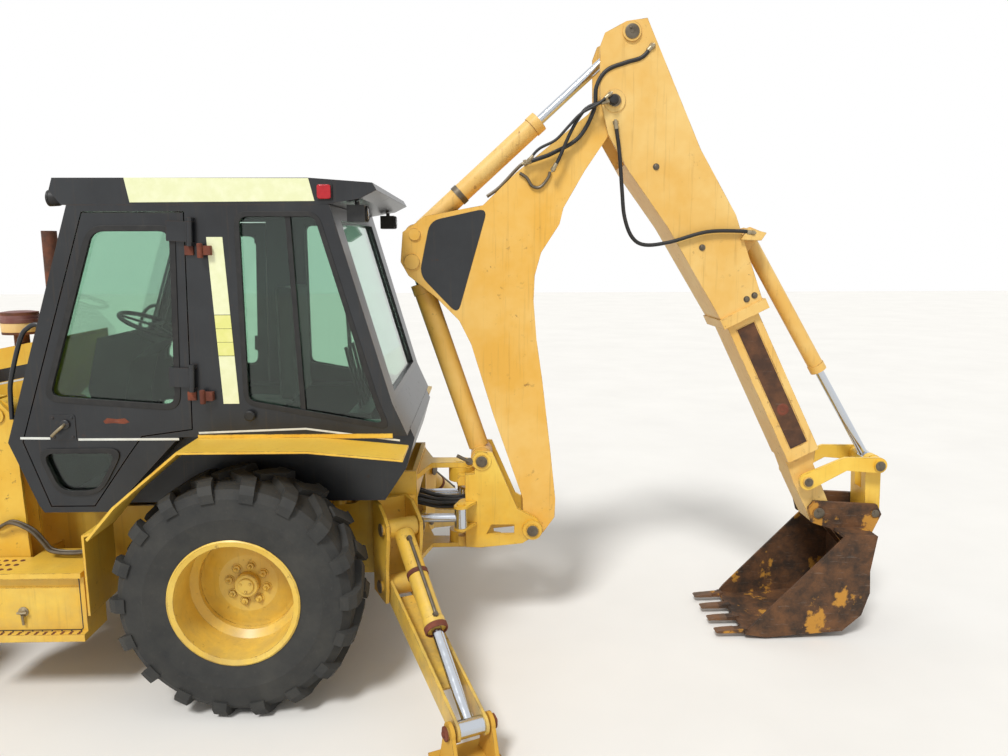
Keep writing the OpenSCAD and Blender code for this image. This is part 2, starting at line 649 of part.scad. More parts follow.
module loader_bucket() color(yellow) {
  half = bucket_w / 2;
  t = bucket_t;
  c = [3560, 335];
  r = 330;
  n = 9;
  arc_out = [for (i = [0:n]) c + r * [cos(270 - i * 110 / n), sin(270 - i * 110 / n)]];
  arc_in = [for (i = [0:n]) c + (r - t) * [cos(270 - i * 110 / n), sin(270 - i * 110 / n)]];
  back = [sin(160), -cos(160)];
  top_out = arc_out[n] + 490 * back;
  top_in = arc_in[n] + 490 * back;
  shell = concat([[lip_x, 5]], arc_out, [top_out, top_in], [for (i = [n:-1:0]) arc_in[i]],
    [[lip_x - 60, 5 + t]]);
  plate(shell, -half, half);
  side_wall = concat([[lip_x - 20, 6]], arc_out, [top_out, top_out + [120, -12],
    [lip_x - 110, 110]]);
  both_sides() {
    plate(side_wall, half - t, half);
    // Ears for the arm, and for the link
    difference() {
      slab(arm_y0 + 12 + side, arm_y1 - 12 - side) union() {
        translate(arm_foot) circle(66);
        polygon([arm_foot + [-10, -66], [3400, 60], [3246, 420], arm_foot + [20, 63]]);
      }
      slab(0, half) polygon(concat(arc_in, [[3600, 500]]));
      bar_y(arm_foot, 28 + fit, 0, half);
    }
    difference() {
      slab(arm_y0 - 65 - 42, arm_y0 - 65 + 42) union() {
        translate(bucket_top_pin) circle(50);
        polygon([bucket_top_pin + [-10, -50], [3330, 420], [3330, 640], bucket_top_pin + [-10, 50]]);
      }
      slab(0, half) polygon(concat(arc_in, [top_in, [3600, 800], [3600, 300]]));
    }
    bar_y(bucket_top_pin, 24, arm_y0 - 65 - 60, arm_y0 - 65 + 60);
  }
}

// The digging arm
module swing_frame() color(yellow) {
  // Post held between the frame's lugs, side walls, foot fork and cylinder ears
  wall = [[swing_x - 25, 1018], [swing_x - 25, 560], [-1217, 556], [-1470, 580],
    boom_foot + [20, -62], boom_foot + [-62, 0], boom_foot + [-30, 66], [-1440, 800],
    [-1290, 1150], [-1186, 1160], [-1182, 1018]];
  y_in = boom_w / 2 + gap;
  for (z = [[549, 71], [940, 89]]) translate([swing_x, 0, z[0]]) cylinder(r = 80, h = z[1]);
  for (z = [[519, 101], [940, 124]]) translate([swing_x, 0, z[0]]) cylinder(r = 45, h = z[1]);
  for (z = [560, 940]) translate([-1200, -y_in, z]) cube([120, 2 * y_in, 60]);
  both_sides() {
    difference() {
      plate(wall, y_in, y_in + 24);
      plate([[-1420, 640], [-1420, 700], [-1280, 700], [-1250, 640]], y_in - 1, y_in + 30);
    }
    bar_y(boom_foot, 60, y_in, y_in + 40);
    bar_y(boom_cyl_base, 58, y_in, y_in + 30);
    // Ears of a swing cylinder, with the heads of its pin
    for (s = [-1, 1]) translate([0, 0, swing_z + s * 67 - 7]) linear_extrude(14)
      strap([swing_x - 40, y_in + 12], [swing_x, swing_y], 55, 42);
    for (s = [-1, 1]) translate([swing_x, swing_y, swing_z + s * 80 - 7])
      cylinder(r = 24, h = 14);
  }
  bar_y(boom_foot, 38, -y_in - 50, y_in + 50);
  bar_y(boom_cyl_base, 38, -y_in - 40, y_in + 40);
}
module swing_rod(s) color(chrome) mirror([0, s, 0]) translate([swing_x, swing_y, swing_z]) {
  cylinder(r = 38, h = 120 - 2 * side, center = true);
  rotate([0, 90, 0]) cylinder(r = 26, h = 600);
}
module boom() color(faded) {
  side_out = [[-780, 2449], [-765, 2280], [-809, 2200], [-962, 2079], [-1099, 1939],
    [-1168, 1799], [-1300, 1362], [-1473, 854], boom_foot + [55, 30], boom_foot + [40, -50],
    boom_foot + [-30, -58], [-1600, 640], [-1668, 735], [-1671, 852], [-1640, 1145],
    [-1589, 1577], [-1553, 1826], [-1535, 2048], [-1541, 2198], [-1578, 2331],
    [-1683, 2492], [-1705, 2584], [-1826, 2793], [-1940, 2960], stick_pivot + [-75, 0],
    stick_pivot + [-30, 70], stick_pivot + [40, 70], [-1844, 3105], [-1434, 2782],
    [-1243, 2600], [-913, 2540]];
  half = boom_w / 2;
  difference() {
    slab(-half, half) polygon(side_out);
    slab(-half + boom_t, half - boom_t) polygon([[-700, 2600], [-700, 2150], [-950, 2000],
      [-1120, 1860], [-1200, 1799], [-1330, 1362], [-1500, 900], [-1560, 800], [-1640, 860],
      [-1600, 1145], [-1560, 1577], [-1520, 1826], [-1500, 2048], [-1510, 2198],
      [-1560, 2331], [-1640, 2470], [-1400, 2720], [-1243, 2560], [-913, 2600]]);
    bar_y(boom_foot, 38 + fit, -half - 1, half + 1);
    bar_y(stick_pivot, 38 + fit, -half - 1, half + 1);
  }
  bar_y(stick_cyl_base, 34, -half - 10, half + 10);
  both_sides() bar_y(boom_cyl_eye, 44, half, half + 12);
}
module boom_barrel() color(yellow)
  barrel(boom_cyl_base, boom_cyl_eye, 0, 1110, boom_cyl_r, 34, 200, 38);
module boom_rod() color(chrome)
  rod(boom_cyl_base, boom_cyl_eye, 0, 250, 34, boom_w - 2 * boom_t - 2 * side, 58);
// Points along and square to the stick, from its pivot
function on_stick(a, b) = stick_pivot + a * along_stick + b * off_stick;
function all_on_stick(pts) = [for (p = pts) on_stick(p[0], p[1])];
module outer_stick() color(faded) {
  half = stick_w / 2;
  outline = all_on_stick([[-349, 107], [-296, 51], [-57, -62], [146, -109], [373, -91],
    [766, -21], [1456, 44], [1445, 299], [878, 361], [456, 328], [-316, 351], [-352, 240]]);
  difference() {
    slab(-half, half) polygon(outline);
    // Open along the rear, where the slider's ear travels
    slab(-half + stick_t, half - stick_t) polygon(all_on_stick([[-420, 0], [-420, 420],
      [1385, 420], [1385, 305], [1470, 280], [1470, 60], [766, 5], [373, -65], [345, -64],
      [330, -140], [-200, -140]]));
  }
  bar_y(stick_pivot, 38, -half - 14, half + 14);
  both_sides() bar_y(stick_cyl_eye, 52, half, half + 12);
  both_sides() bar_y(stick_pivot, 62, boom_w / 2 + 1, half + 8);
  // Collar at the lower end
  difference() {
    slab(-half - 16, half + 16) polygon(all_on_stick([[1390, 30], [1390, 320], [1450, 320],
      [1450, 30]]));
    slab(-slider_w / 2 - side, slider_w / 2 + side) polygon(all_on_stick([[1380, 60 - side],
      [1380, 60 + slider_h + side], [1460, 60 + slider_h + side], [1460, 60 - side]]));
  }
}
module stick_barrel() color(yellow)
  barrel(stick_cyl_base, stick_cyl_eye, 0, 972, stick_cyl_r, 28, 200, 34);
module stick_rod() color(chrome)
  rod(stick_cyl_base, stick_cyl_eye, 0, 590, 28, stick_w - 2 * stick_t - 2 * side, 50);
module sliding_stick() color(faded) {
  half = slider_w / 2;
  end_half = 100;
  // Half width of the bucket cylinder's ears: cylinder, play and ear
  ear = bucket_cyl_r + gap / 2 + 16;
  difference() {
    union() {
      slab(-half, half) polygon(all_on_stick([[960, 60], [960, 60 + slider_h],
        [2380, 60 + slider_h], [2380, 60]]));
      slab(-end_half, end_half) polygon(all_on_stick([[2370, 60], [2370, 60 + slider_h],
        [2385, 258], [2440, 225], [2470, 205], [2780, 190], [2830, 130], [2810, 50],
        [2540, 48]]));
      slab(-ear, ear) polygon(all_on_stick([[960, 250], [990, 440], [1034, 480], [1080, 440],
        [1180, 250]]));
    }
    bar_y(bucket_pin, 38 + fit, -200, 200);
    slab(-ear + 16, ear - 16) polygon(all_on_stick([[960, 340], [960, 500], [1200, 500],
      [1200, 300]]));
    // Shallow bed of the rubbing strip on each side
    both_sides() slab(half - 4, half + 1) polygon(all_on_stick([[1490, 100], [1490, 220],
      [2310, 220], [2310, 100]]));
  }
  bar_y(bucket_cyl_base, 26, -ear - 8, ear + 8);
  bar_y(lever_pin, 30, -lever_y - 34, lever_y + 34);
  // Wear pads at the upper end
  both_sides() slab(half - 1, stick_w / 2 - stick_t - side) polygon(all_on_stick([
    [970, 80], [970, 240], [1010, 240], [1010, 80]]));
}
module bucket_barrel() color(yellow)
  barrel(bucket_cyl_base, link_pin, 0, 950, bucket_cyl_r, 26, 2 * bucket_cyl_r + 4, 26);
module bucket_rod() color(chrome)
  rod(bucket_cyl_base, link_pin, 0, 490, 26, 86 - 2 * side, 46);
module bucket_levers() color(yellow) both_sides() {
  mid = (lever_pin + link_pin) / 2 + [-10, 60];
  slab(lever_y, lever_y + 24) difference() {
    union() {
      strap(lever_pin, mid, 52, 40);
      strap(mid, link_pin, 40, 48);
    }
    translate(lever_pin) circle(30 + fit);
  }
  bar_y(link_pin, 34, lever_y + 18, lever_y + 38);
}
module bucket_link() color(yellow) difference() {
  union() {
    slab(-98, 98) strap(ear_pin, link_pin, 46, 48);
    both_sides() bar_y(link_pin, 44, 97, lever_y - gap - 2);
  }
  bar_y(ear_pin, 28 + fit, -200, 200);
  slab(-43, 43) strap(link_pin, (ear_pin + link_pin) / 2, 64, 50);
}
module hoe_bucket() color(steel) {
  half = hoe_w / 2;
  t = hoe_t;
  plate([[-3397, 650], [-3592, 650], [-3560, 430], [-3568, 293], [-3524, 150], [-3412, 50],
    [-2944, 14], [-2821, 34], [-2821, 54], [-2944, 34], [-3404, 70], [-3508, 162],
    [-3550, 293], [-3542, 428], [-3568, 632], [-3397, 632]], -half, half);
  both_sides() {
    plate([[-3397, 648], [-3590, 648], [-3560, 430], [-3568, 293], [-3524, 150], [-3412, 52],
      [-2944, 16], [-2821, 36], [-2860, 90]], half - t, half);
    plate([[-3235, 770], [-3270, 815], [-3660, 790], [-3690, 730], [-3560, 430],
      [-3380, 640], [-3260, 680]], 106, 136);
  }
  bar_y(bucket_pin, 38, -140, 140);
  bar_y(ear_pin, 28, -140, 140);
  for (y = [-0.42, -0.14, 0.14, 0.42]) plate([[-2860, 32], [-2840, 60], [-2660, 44],
    [-2660, 32]], y * hoe_w - 26, y * hoe_w + 26);
}

// The stabilizers
module leg_place(s) mirror([0, s, 0]) translate([leg_root[0], leg_root[1], 0])
  rotate(90 + leg_rake) children();
module leg(s) color(yellow) leg_place(s) difference() {
  u = unit(leg_end - leg_pin);
  n = [-u[1], u[0]];
  union() {
    // Channel that the cylinder folds into
    for (k = [-1, 1]) slab(k * 70 - 8, k * 70 + 8) strap(leg_pin, leg_end, 66, 50);
    slab(-64, 64) polygon([leg_pin + 60 * u - 64 * n, leg_pin + 60 * u - 50 * n,
      leg_pin + 760 * u - 40 * n, leg_pin + 760 * u - 53 * n]);
    bar_y(leg_pin, 60, -78, 78);
    for (k = [-1, 1]) bar_y(leg_end, 26, k * 89 - 27, k * 89 + 27);
  }
  bar_y(leg_pin, 30 + fit, -200, 200);
}
module leg_barrel(s) leg_place(s) color(yellow)
  barrel(leg_cyl_pin, leg_end, 0, 640, leg_cyl_r, 28, 160, 30);
module leg_rod(s) leg_place(s) color(chrome)
  rod(leg_cyl_pin, leg_end, 0, 504, 28, 124 - 2 * side, 42);
module pad(s) color(steel) leg_place(s) difference() {
  union() {
    translate([leg_end[0] - pad_w / 2, -150, 4]) cube([pad_w, 300, 20]);
    for (k = [-1, 1]) slab(k * 98 - 10, k * 98 + 10) union() {
      translate(leg_end) circle(48);
      polygon([[leg_end[0] - 110, 20], [leg_end[0] + 110, 20], leg_end + [46, 0],
        leg_end - [46, 0]]);
    }
  }
  bar_y(leg_end, 26 + fit, -200, 200);
}

// The whole machine, centred along X
module placed() translate([-middle_x, 0, 0]) children();

placed() main_frame();
placed() drivetrain();
placed() hood();
placed() grille();
placed() front_axle();
placed() rear_axle();
placed() fenders();
placed() side_tanks();
placed() cab_frame();
placed() cab_roof();
placed() cab_glass();
placed() controls();
placed() operator_seat();
placed() stacks();
placed() lamps();
placed() door(0);  // door_left
placed() door(1);  // door_right
placed() door_glass(0);  // door_glass_left
placed() door_glass(1);  // door_glass_right
placed() knuckle();  // knuckle_left
placed() mirror([0, 1, 0]) knuckle();  // knuckle_right
placed() at_wheel(wheelbase, front_track / 2, front_r) front_tyre();  // front_tyre_left
placed() at_wheel(wheelbase, -front_track / 2, front_r) front_tyre();  // front_tyre_right
placed() at_wheel(wheelbase, front_track / 2, front_r) front_rim();  // front_rim_left
placed() at_wheel(wheelbase, -front_track / 2, front_r) front_rim();  // front_rim_right
placed() at_wheel(0, rear_track / 2, rear_r) rear_tyre();  // rear_tyre_left
placed() at_wheel(0, -rear_track / 2, rear_r) rear_tyre();  // rear_tyre_right
placed() at_wheel(0, rear_track / 2, rear_r) rear_rim();  // rear_rim_left
placed() at_wheel(0, -rear_track / 2, rear_r) rear_rim();  // rear_rim_right
placed() loader_arms();
placed() lift_barrels();
placed() lift_rods();
placed() tilt_levers();
placed() tilt_links();
placed() tilt_barrels();
placed() tilt_rods();
placed() loader_bucket();
placed() swing_frame();
placed() swing_rod(0);  // swing_rod_left
placed() swing_rod(1);  // swing_rod_right
placed() boom();
placed() boom_barrel();
placed() boom_rod();
placed() outer_stick();
placed() stick_barrel();
placed() stick_rod();
placed() sliding_stick();
placed() bucket_barrel();
placed() bucket_rod();
placed() bucket_levers();
placed() bucket_link();
placed() hoe_bucket();
placed() leg(0);  // leg_left
placed() leg(1);  // leg_right
placed() leg_barrel(0);  // leg_barrel_left
placed() leg_barrel(1);  // leg_barrel_right
placed() leg_rod(0);  // leg_rod_left
placed() leg_rod(1);  // leg_rod_right
placed() pad(0);  // pad_left
placed() pad(1);  // pad_right
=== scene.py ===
"""Looks of a backhoe loader: finishes, trim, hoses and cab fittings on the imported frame.

Points are given in millimetres from the rear axle, as the drawing has them: X forward,
Y to the machine's left, Z up. at() turns them into the frame's metres.
"""

from __future__ import annotations

import json
import logging
import math
from dataclasses import dataclass
from enum import Enum
from typing import Iterable, Sequence

import bmesh
import bpy
from mathutils import Matrix, Vector

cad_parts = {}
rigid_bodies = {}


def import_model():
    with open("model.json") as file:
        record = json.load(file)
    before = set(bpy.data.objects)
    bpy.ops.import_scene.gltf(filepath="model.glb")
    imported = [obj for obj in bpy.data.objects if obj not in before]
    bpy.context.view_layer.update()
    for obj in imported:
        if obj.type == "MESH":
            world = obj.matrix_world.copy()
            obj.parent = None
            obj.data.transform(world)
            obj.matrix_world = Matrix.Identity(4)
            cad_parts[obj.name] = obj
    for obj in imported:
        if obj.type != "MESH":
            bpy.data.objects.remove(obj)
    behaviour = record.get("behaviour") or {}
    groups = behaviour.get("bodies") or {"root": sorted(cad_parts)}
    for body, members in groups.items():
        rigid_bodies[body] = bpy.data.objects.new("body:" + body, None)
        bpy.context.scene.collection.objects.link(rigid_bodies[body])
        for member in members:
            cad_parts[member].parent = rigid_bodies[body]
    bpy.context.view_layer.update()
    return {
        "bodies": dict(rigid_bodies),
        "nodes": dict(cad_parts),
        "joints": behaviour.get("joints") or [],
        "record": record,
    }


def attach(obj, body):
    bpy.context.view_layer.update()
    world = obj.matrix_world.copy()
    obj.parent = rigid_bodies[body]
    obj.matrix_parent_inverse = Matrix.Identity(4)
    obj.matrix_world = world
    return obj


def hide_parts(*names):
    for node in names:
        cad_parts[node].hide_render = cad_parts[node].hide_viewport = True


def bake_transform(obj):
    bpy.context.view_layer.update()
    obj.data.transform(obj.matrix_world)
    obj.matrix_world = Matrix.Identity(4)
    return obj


log = logging.getLogger("backhoe_loader")

MIDDLE_X = 205.5  # the drawing's X at the middle of the machine's box, in mm
MM = 0.001
Point = Sequence[float]
UP = (0.0, 0.0, 1.0)
SIDEWAYS = (0.0, 1.0, 0.0)
SIDES = ((1, "left"), (-1, "right"))
STICK_PIVOT = (-1982.0, 3169.0)
STICK_LEAN = math.radians(26.3)
OUTSIDE = 1400.0  # farther out than any wheel, in mm
FILM = 0.2  # how deep a stuck-on piece sits in its plate, in mm


def at(x: float, y: float, z: float) -> Vector:
    """Return a point of the drawing (mm) in the frame's metres."""
    return Vector(((x - MIDDLE_X) * MM, y * MM, z * MM))


def linear(hex_value: str) -> tuple[float, float, float, float]:
    """Turn an sRGB hex value into linear colour.

    Args:
        hex_value: colour such as "#E9B84F".

    Returns:
        Linear red, green, blue and an alpha of 1.
    """
    parts = [int(hex_value[i:i + 2], 16) / 255 for i in (1, 3, 5)]
    return (*[c / 12.92 if c <= 0.04045 else ((c + 0.055) / 1.055) ** 2.4 for c in parts], 1.0)


class Body(str, Enum):
    """Bodies that pieces ride on."""

    CHASSIS = "chassis"
    DOOR_LEFT = "door_left"
    DOOR_RIGHT = "door_right"
    ARMS = "loader_arms"
    SWING = "swing_frame"
    BOOM = "boom"
    STICK_BARREL = "stick_barrel"
    STICK = "outer_stick"
    SLIDER = "sliding_stick"
    LEVERS = "bucket_levers"
    HOE = "hoe_bucket"


def settle(node: bpy.types.Node, settings: dict, links: dict) -> bpy.types.Node:
    """Set a node's attributes and sockets, and link its inputs.

    Args:
        node: the node.
        settings: attribute or input socket (by name or index) to value.
        links: input socket (by name or index) to the output socket that feeds it.

    Returns:
        The node.
    """
    for key, value in settings.items():
        if isinstance(key, int) or key in node.inputs:
            node.inputs[key].default_value = value
        else:
            setattr(node, key, value)
    for key, socket in links.items():
        node.id_data.links.new(socket, node.inputs[key])
    return node


class Finish:
    """A material under work: its shader, the object's coordinates and what is added."""

    def __init__(self, name: str) -> None:
        """Start a material with a bare shader."""
        self.material = bpy.data.materials.new(name)
        self.material.use_nodes = True
        self.tree = self.material.node_tree
        self.shader = next(n for n in self.tree.nodes if n.type == "BSDF_PRINCIPLED")
        self.place = self.add("TexCoord", out="Object")

    def add(self, kind: str, settings: dict | None = None, links: dict | None = None,
            out: int | str = 0) -> bpy.types.NodeSocket:
        """Add a shader node and return one of its output sockets.

        Args:
            kind: the node's type, without ShaderNode.
            settings: attribute or input socket to value.
            links: input socket to the output socket that feeds it.
            out: name or index of the output socket to return.

        Returns:
            The output socket.
        """
        node = self.tree.nodes.new(f"ShaderNode{kind}")
        return settle(node, settings or {}, links or {}).outputs[out]

    def cloud(self, scale: float, detail: float, low: float, high: float, top: float = 1.0,
              stretch: Point = (1, 1, 1)) -> bpy.types.NodeSocket:
        """Return a mask of patches.

        Args:
            scale: patches per metre.
            detail: octaves of finer edges.
            low: noise value where the mask starts.
            high: noise value where it is full.
            top: value of the full mask.
            stretch: factors on the coordinates, for streaks.

        Returns:
            A socket from 0 to top.
        """
        place = self.add("Mapping", {"Scale": stretch}, {"Vector": self.place})
        value = self.add("TexNoise", {"Scale": scale, "Detail": detail, "Roughness": 0.66},
                         {"Vector": place}, "Fac")
        return self.add("MapRange", {"From Min": low, "From Max": high, "To Max": top},
                        {"Value": value})

    def edges(self, radius: float) -> bpy.types.NodeSocket:
        """Return a mask of worn edges within a radius in metres, broken up by patches."""
        normal = self.add("NewGeometry", out="Normal")
        soft = self.add("Bevel", {"samples": 4, "Radius": radius})
        same = self.add("VectorMath", {"operation": "DOT_PRODUCT"}, {0: normal, 1: soft}, "Value")
        edge = self.add("MapRange", {"From Min": 0.985, "From Max": 0.86}, {"Value": same})
        return self.add("Math", {"operation": "MULTIPLY"},
                        {0: edge, 1: self.cloud(14, 6, 0.42, 0.56)})

    def over(self, mask: bpy.types.NodeSocket, base: bpy.types.NodeSocket | str,
             colour: str) -> bpy.types.NodeSocket:
        """Return base with a colour laid over it where the mask is."""
        settings = {"data_type": "RGBA", 7: linear(colour)}
        links = {0: mask}
        if isinstance(base, str):
            settings[6] = linear(base)
        else:
            links[6] = base
        return self.add("Mix", settings, links, 2)

    def done(self, settings: dict, links: dict | None = None, grain: float = 300.0,
             depth: float = 0.0004) -> bpy.types.Material:
        """Add a fine grain as bump, settle the shader and return the material.

        Args:
            settings: shader inputs to values.
            links: shader inputs to sockets.
            grain: grains per metre.
            depth: depth of the grain in metres.
        """
        fine = self.add("TexNoise", {"Scale": grain, "Detail": 3.0}, {"Vector": self.place}, "Fac")
        bump = self.add("Bump", {"Strength": 0.35, "Distance": depth}, {"Height": fine})
        settle(self.shader, settings, {"Normal": bump, **(links or {})})
        return self.material


@dataclass(frozen=True)
class SprayedEnamel:
    """Machine enamel on plate: faded in patches, lighter on upward faces as painted light from the
    sky, dusty below, rust at chips and edges.
    """

    name: str
    fresh: str
    # Faded colour of the paint, also laid on upward faces as painted light.
    bleached: str
    chips: float = 0.5
    dust: float = 0.5
    streaks: float = 0.35
    roughness: float = 0.42
    worn: str = "#6B4427"

    def make(self) -> bpy.types.Material:
        """Build the material; patches of 0.4 m, streaks of 15 mm, chips of 5 to 30 mm."""
        f = Finish(self.name)
        colour = f.over(f.cloud(2.4, 4, 0.35, 0.7), self.fresh, self.bleached)
        # Upward faces take the faded colour, up to 0.4: painted light where light falls on the
        # tops, not a change of the paint.
        normal = f.add("NewGeometry", out="Normal")
        upward = f.add("SeparateXYZ", links={"Vector": normal}, out="Z")
        above = f.add("MapRange", {"From Min": 0.2, "From Max": 0.9, "To Max": 0.4},
                      {"Value": upward})
        colour = f.over(above, colour, self.bleached)
        colour = f.over(f.cloud(1, 5, 0.56, 0.8, self.streaks, (46, 46, 1.6)), colour, "#8F6A30")
        height = f.add("SeparateXYZ", links={"Vector": f.place}, out="Z")
        low = f.add("MapRange", {"From Min": 1.0, "From Max": 0.1}, {"Value": height})
        dust = f.add("Math", {"operation": "MULTIPLY"}, {0: low, 1: f.cloud(9, 6, 0.3, 0.7,
                                                                            self.dust)})
        colour = f.over(dust, colour, "#8E8064")
        pits = f.add("Math", {"operation": "MULTIPLY"},
                     {0: f.cloud(26, 8, 0.62, 0.66), 1: f.cloud(3.1, 3, 0.66 - 0.3 * self.chips,
                                                                 0.74)})
        bare = f.add("Math", {"operation": "MAXIMUM"}, {0: pits, 1: f.edges(0.006)})
        colour = f.over(bare, colour, self.worn)
        rough = f.add("MapRange", {"To Min": self.roughness, "To Max": 0.8}, {"Value": bare})
        return f.done({"Coat Weight": 0.12, "Coat Roughness": 0.25},
                      {"Base Color": colour, "Roughness": rough}, 420.0, 0.0003)


@dataclass(frozen=True)
class WornPlate:
    """Bare wear plate: dark and orange rust, scratched bright, with remains of paint."""

    name: str
    dark: str
    orange: str
    paint: str
    share: float = 0.0
    shine: float = 0.5

    def make(self) -> bpy.types.Material:
        """Build the material; rust patches of 0.1 m, scratches along X, pits of 10 mm."""
        f = Finish(self.name)
        colour = f.over(f.cloud(7, 7, 0.4, 0.64), self.dark, self.orange)
        scratch = f.cloud(1, 4, 0.6, 0.75, self.shine, (12, 70, 90))
        colour = f.over(scratch, colour, "#8E8176")
        rest = f.cloud(4.2, 8, 0.72 - 0.5 * self.share, 0.76 - 0.5 * self.share,
                       1.0 if self.share else 0.0)
        colour = f.over(rest, colour, self.paint)
        colour = f.over(f.edges(0.005), colour, "#5A3A26")
        rough = f.add("MapRange", {"To Min": 0.8, "To Max": 0.4}, {"Value": scratch})
        metal = f.add("MapRange", {"To Min": 0.1, "To Max": 0.8}, {"Value": scratch})
        return f.done({}, {"Base Color": colour, "Roughness": rough, "Metallic": metal}, 90, 0.0012)


@dataclass(frozen=True)
class TyreRubber:
    """Vulcanised tyre rubber: near black, grey dust in clouds."""

    name: str

    def make(self) -> bpy.types.Material:
        """Build the material; dust clouds of 0.1 m, scuffs of 20 mm."""
        f = Finish(self.name)
        colour = f.over(f.cloud(5, 8, 0.3, 0.9, 0.4), "#222323", "#5E5B52")
        colour = f.over(f.cloud(1, 5, 0.58, 0.72, 0.25, (60, 60, 40)), colour, "#4A4843")
        return f.done({"Roughness": 0.78}, {"Base Color": colour}, 240, 0.0009)


@dataclass(frozen=True)
class HardChrome:
    """Ground and chromed cylinder rod: a mirror with a faint film of oil."""

    name: str

    def make(self) -> bpy.types.Material:
        """Build the material; film patches of 30 mm."""
        f = Finish(self.name)
        film = f.cloud(30, 4, 0.3, 0.8)
        rough = f.add("MapRange", {"To Min": 0.1, "To Max": 0.28}, {"Value": film})
        return f.done({"Base Color": linear("#C6CBD2"), "Metallic": 1.0}, {"Roughness": rough},
                      800, 0.00002)


@dataclass(frozen=True)
class ClearPart:
    """Glass or a clear lens, with a thin film of dust."""

    name: str
    tint: str
    roughness: float = 0.02

    def make(self) -> bpy.types.Material:
        """Build the material: full transmission, at the usual IOR of glass."""
        f = Finish(self.name)
        film = f.add("MapRange", {"To Min": self.roughness, "To Max": self.roughness + 0.05},
                     {"Value": f.cloud(5, 5, 0.4, 0.8)})
        return f.done({"Base Color": linear(self.tint), "Transmission Weight": 1.0, "IOR": 1.5},
                      {"Roughness": film}, 2, 0.0002)


@dataclass(frozen=True)
class Moulded:
    """Moulded rubber, plastic or plated metal: one colour, a fine grain, slight wear."""

    name: str
    colour: str
    worn: str
    roughness: float = 0.55
    metallic: float = 0.0

    def make(self) -> bpy.types.Material:
        """Build the material; wear patches of 60 mm."""
        f = Finish(self.name)
        colour = f.over(f.cloud(16, 5, 0.42, 0.8), self.colour, self.worn)
        return f.done({"Roughness": self.roughness, "Metallic": self.metallic},
                      {"Base Color": colour}, 300, 0.0004)


@dataclass(frozen=True)
class WovenCloth:
    """Woven seat cloth with threads of 4 mm and a soft sheen."""

    name: str
    colour: str
    thread: str

    def make(self) -> bpy.types.Material:
        """Build the material: two crossed waves of threads."""
        f = Finish(self.name)
        weave = [f.add("TexWave", {"Scale": 80.0, "bands_direction": d}, {"Vector": f.place},
                       "Fac") for d in ("Y", "Z")]
        cross = f.add("Math", {"operation": "MULTIPLY"}, {0: weave[0], 1: weave[1]})
        colour = f.over(cross, self.colour, self.thread)
        return f.done({"Roughness": 0.9, "Sheen Weight": 0.3}, {"Base Color": colour}, 250, 0.001)


class Finishes:
    """Every finish of the machine, made at its first use and looked up by name."""

    MADE: dict[str, bpy.types.Material] = {}
    TABLE = {
        "yellow": SprayedEnamel("sprayed_yellow_enamel", "#DFAC2E", "#ECC752"),
        "boom": SprayedEnamel("sunned_boom_enamel", "#E2AB40", "#EAC06A", streaks=0.45,
                              roughness=0.5),
        "stick": SprayedEnamel("sunned_stick_enamel", "#DEAE55", "#E8C57A", 0.7, 0.5, 0.55, 0.52),
        "leg": SprayedEnamel("leg_enamel", "#DCAC30", "#EAC75A", 1.0, 0.8),
        "wheel": SprayedEnamel("wheel_disc_enamel", "#DBB038", "#EAC95E", 0.7, 0.6),
        # Black enamel of the cab; the same finish paints the shadow sheet on the boom's knee.
        "black": SprayedEnamel("black_enamel_and_painted_shadow", "#14161A", "#24272A", 0.6, 0.3, 0.08, 0.34,
                               "#3A2C24"),
        "engine": SprayedEnamel("oily_engine_enamel", "#6E5F2E", "#857544", 0.6, 0.8),
        "bucket": WornPlate("rusted_bucket_plate", "#35271C", "#6C482B", "#B98432", 0.3, 0.45),
        "edge": WornPlate("scoured_edge_steel", "#5B4A3C", "#7A5436", "#8F8072", 0.0, 1.0),
        "pad": WornPlate("worn_pad_plate", "#57402A", "#8A5A2C", "#CFA03A", 0.7, 0.3),
        "loader": WornPlate("worn_loader_plate", "#6A5236", "#8A5F35", "#D6A136", 0.75, 0.6),
        "exhaust": WornPlate("heated_exhaust_steel", "#4A3228", "#7C4830", "#8F8072", 0.0, 0.2),
        "wear": WornPlate("rubbed_slide_steel", "#432D20", "#67432A", "#8F8072", 0.0, 0.35),
        "bush": WornPlate("rusted_bush_steel", "#5C2F22", "#84452E", "#8F8072", 0.0, 0.3),
        "tyre": TyreRubber("vulcanised_tyre_rubber"),
        "chrome": HardChrome("hard_chromed_rod"),
        "glass": ClearPart("tinted_float_glass", "#BFDCCB"),
        "lens": ClearPart("moulded_lamp_lens", "#F4F4EE", 0.1),
        "red_lens": Moulded("moulded_red_lens", "#A80F1C", "#C01F28", 0.18),
        "rubber": Moulded("moulded_black_rubber", "#121212", "#282624"),
        "hose": Moulded("rubber_hose_cover", "#101010", "#262320", 0.48),
        "plastic": Moulded("moulded_cab_plastic", "#1C1D1E", "#30302E", 0.5),
        "cloth": WovenCloth("woven_seat_cloth", "#333436", "#55554F"),
        "strip": Moulded("pale_vinyl_strip", "#E2E5B6", "#EDEFCB", 0.4),
        "strip_old": Moulded("yellowed_vinyl_strip", "#DDDD84", "#E8E59C", 0.42),
        "white": Moulded("white_vinyl_line", "#DADCD6", "#BFC0B8", 0.5),
        "pin": Moulded("oiled_pin_steel", "#6F6658", "#4D4336", 0.42, 0.7),
        "zinc": Moulded("zinc_plated_steel", "#A69A80", "#7C6A4C", 0.4, 0.8),
        "cap": Moulded("brown_cleaner_cap", "#6E403A", "#85605A"),
        "cream": Moulded("cream_cleaner_bowl", "#DDBB7C", "#CDA868", 0.42),
    }

    @classmethod
    def get(cls, key: str) -> bpy.types.Material:
        """Return the finish's material."""
        if key not in cls.MADE:
            cls.MADE[key] = cls.TABLE[key].make()
        return cls.MADE[key]


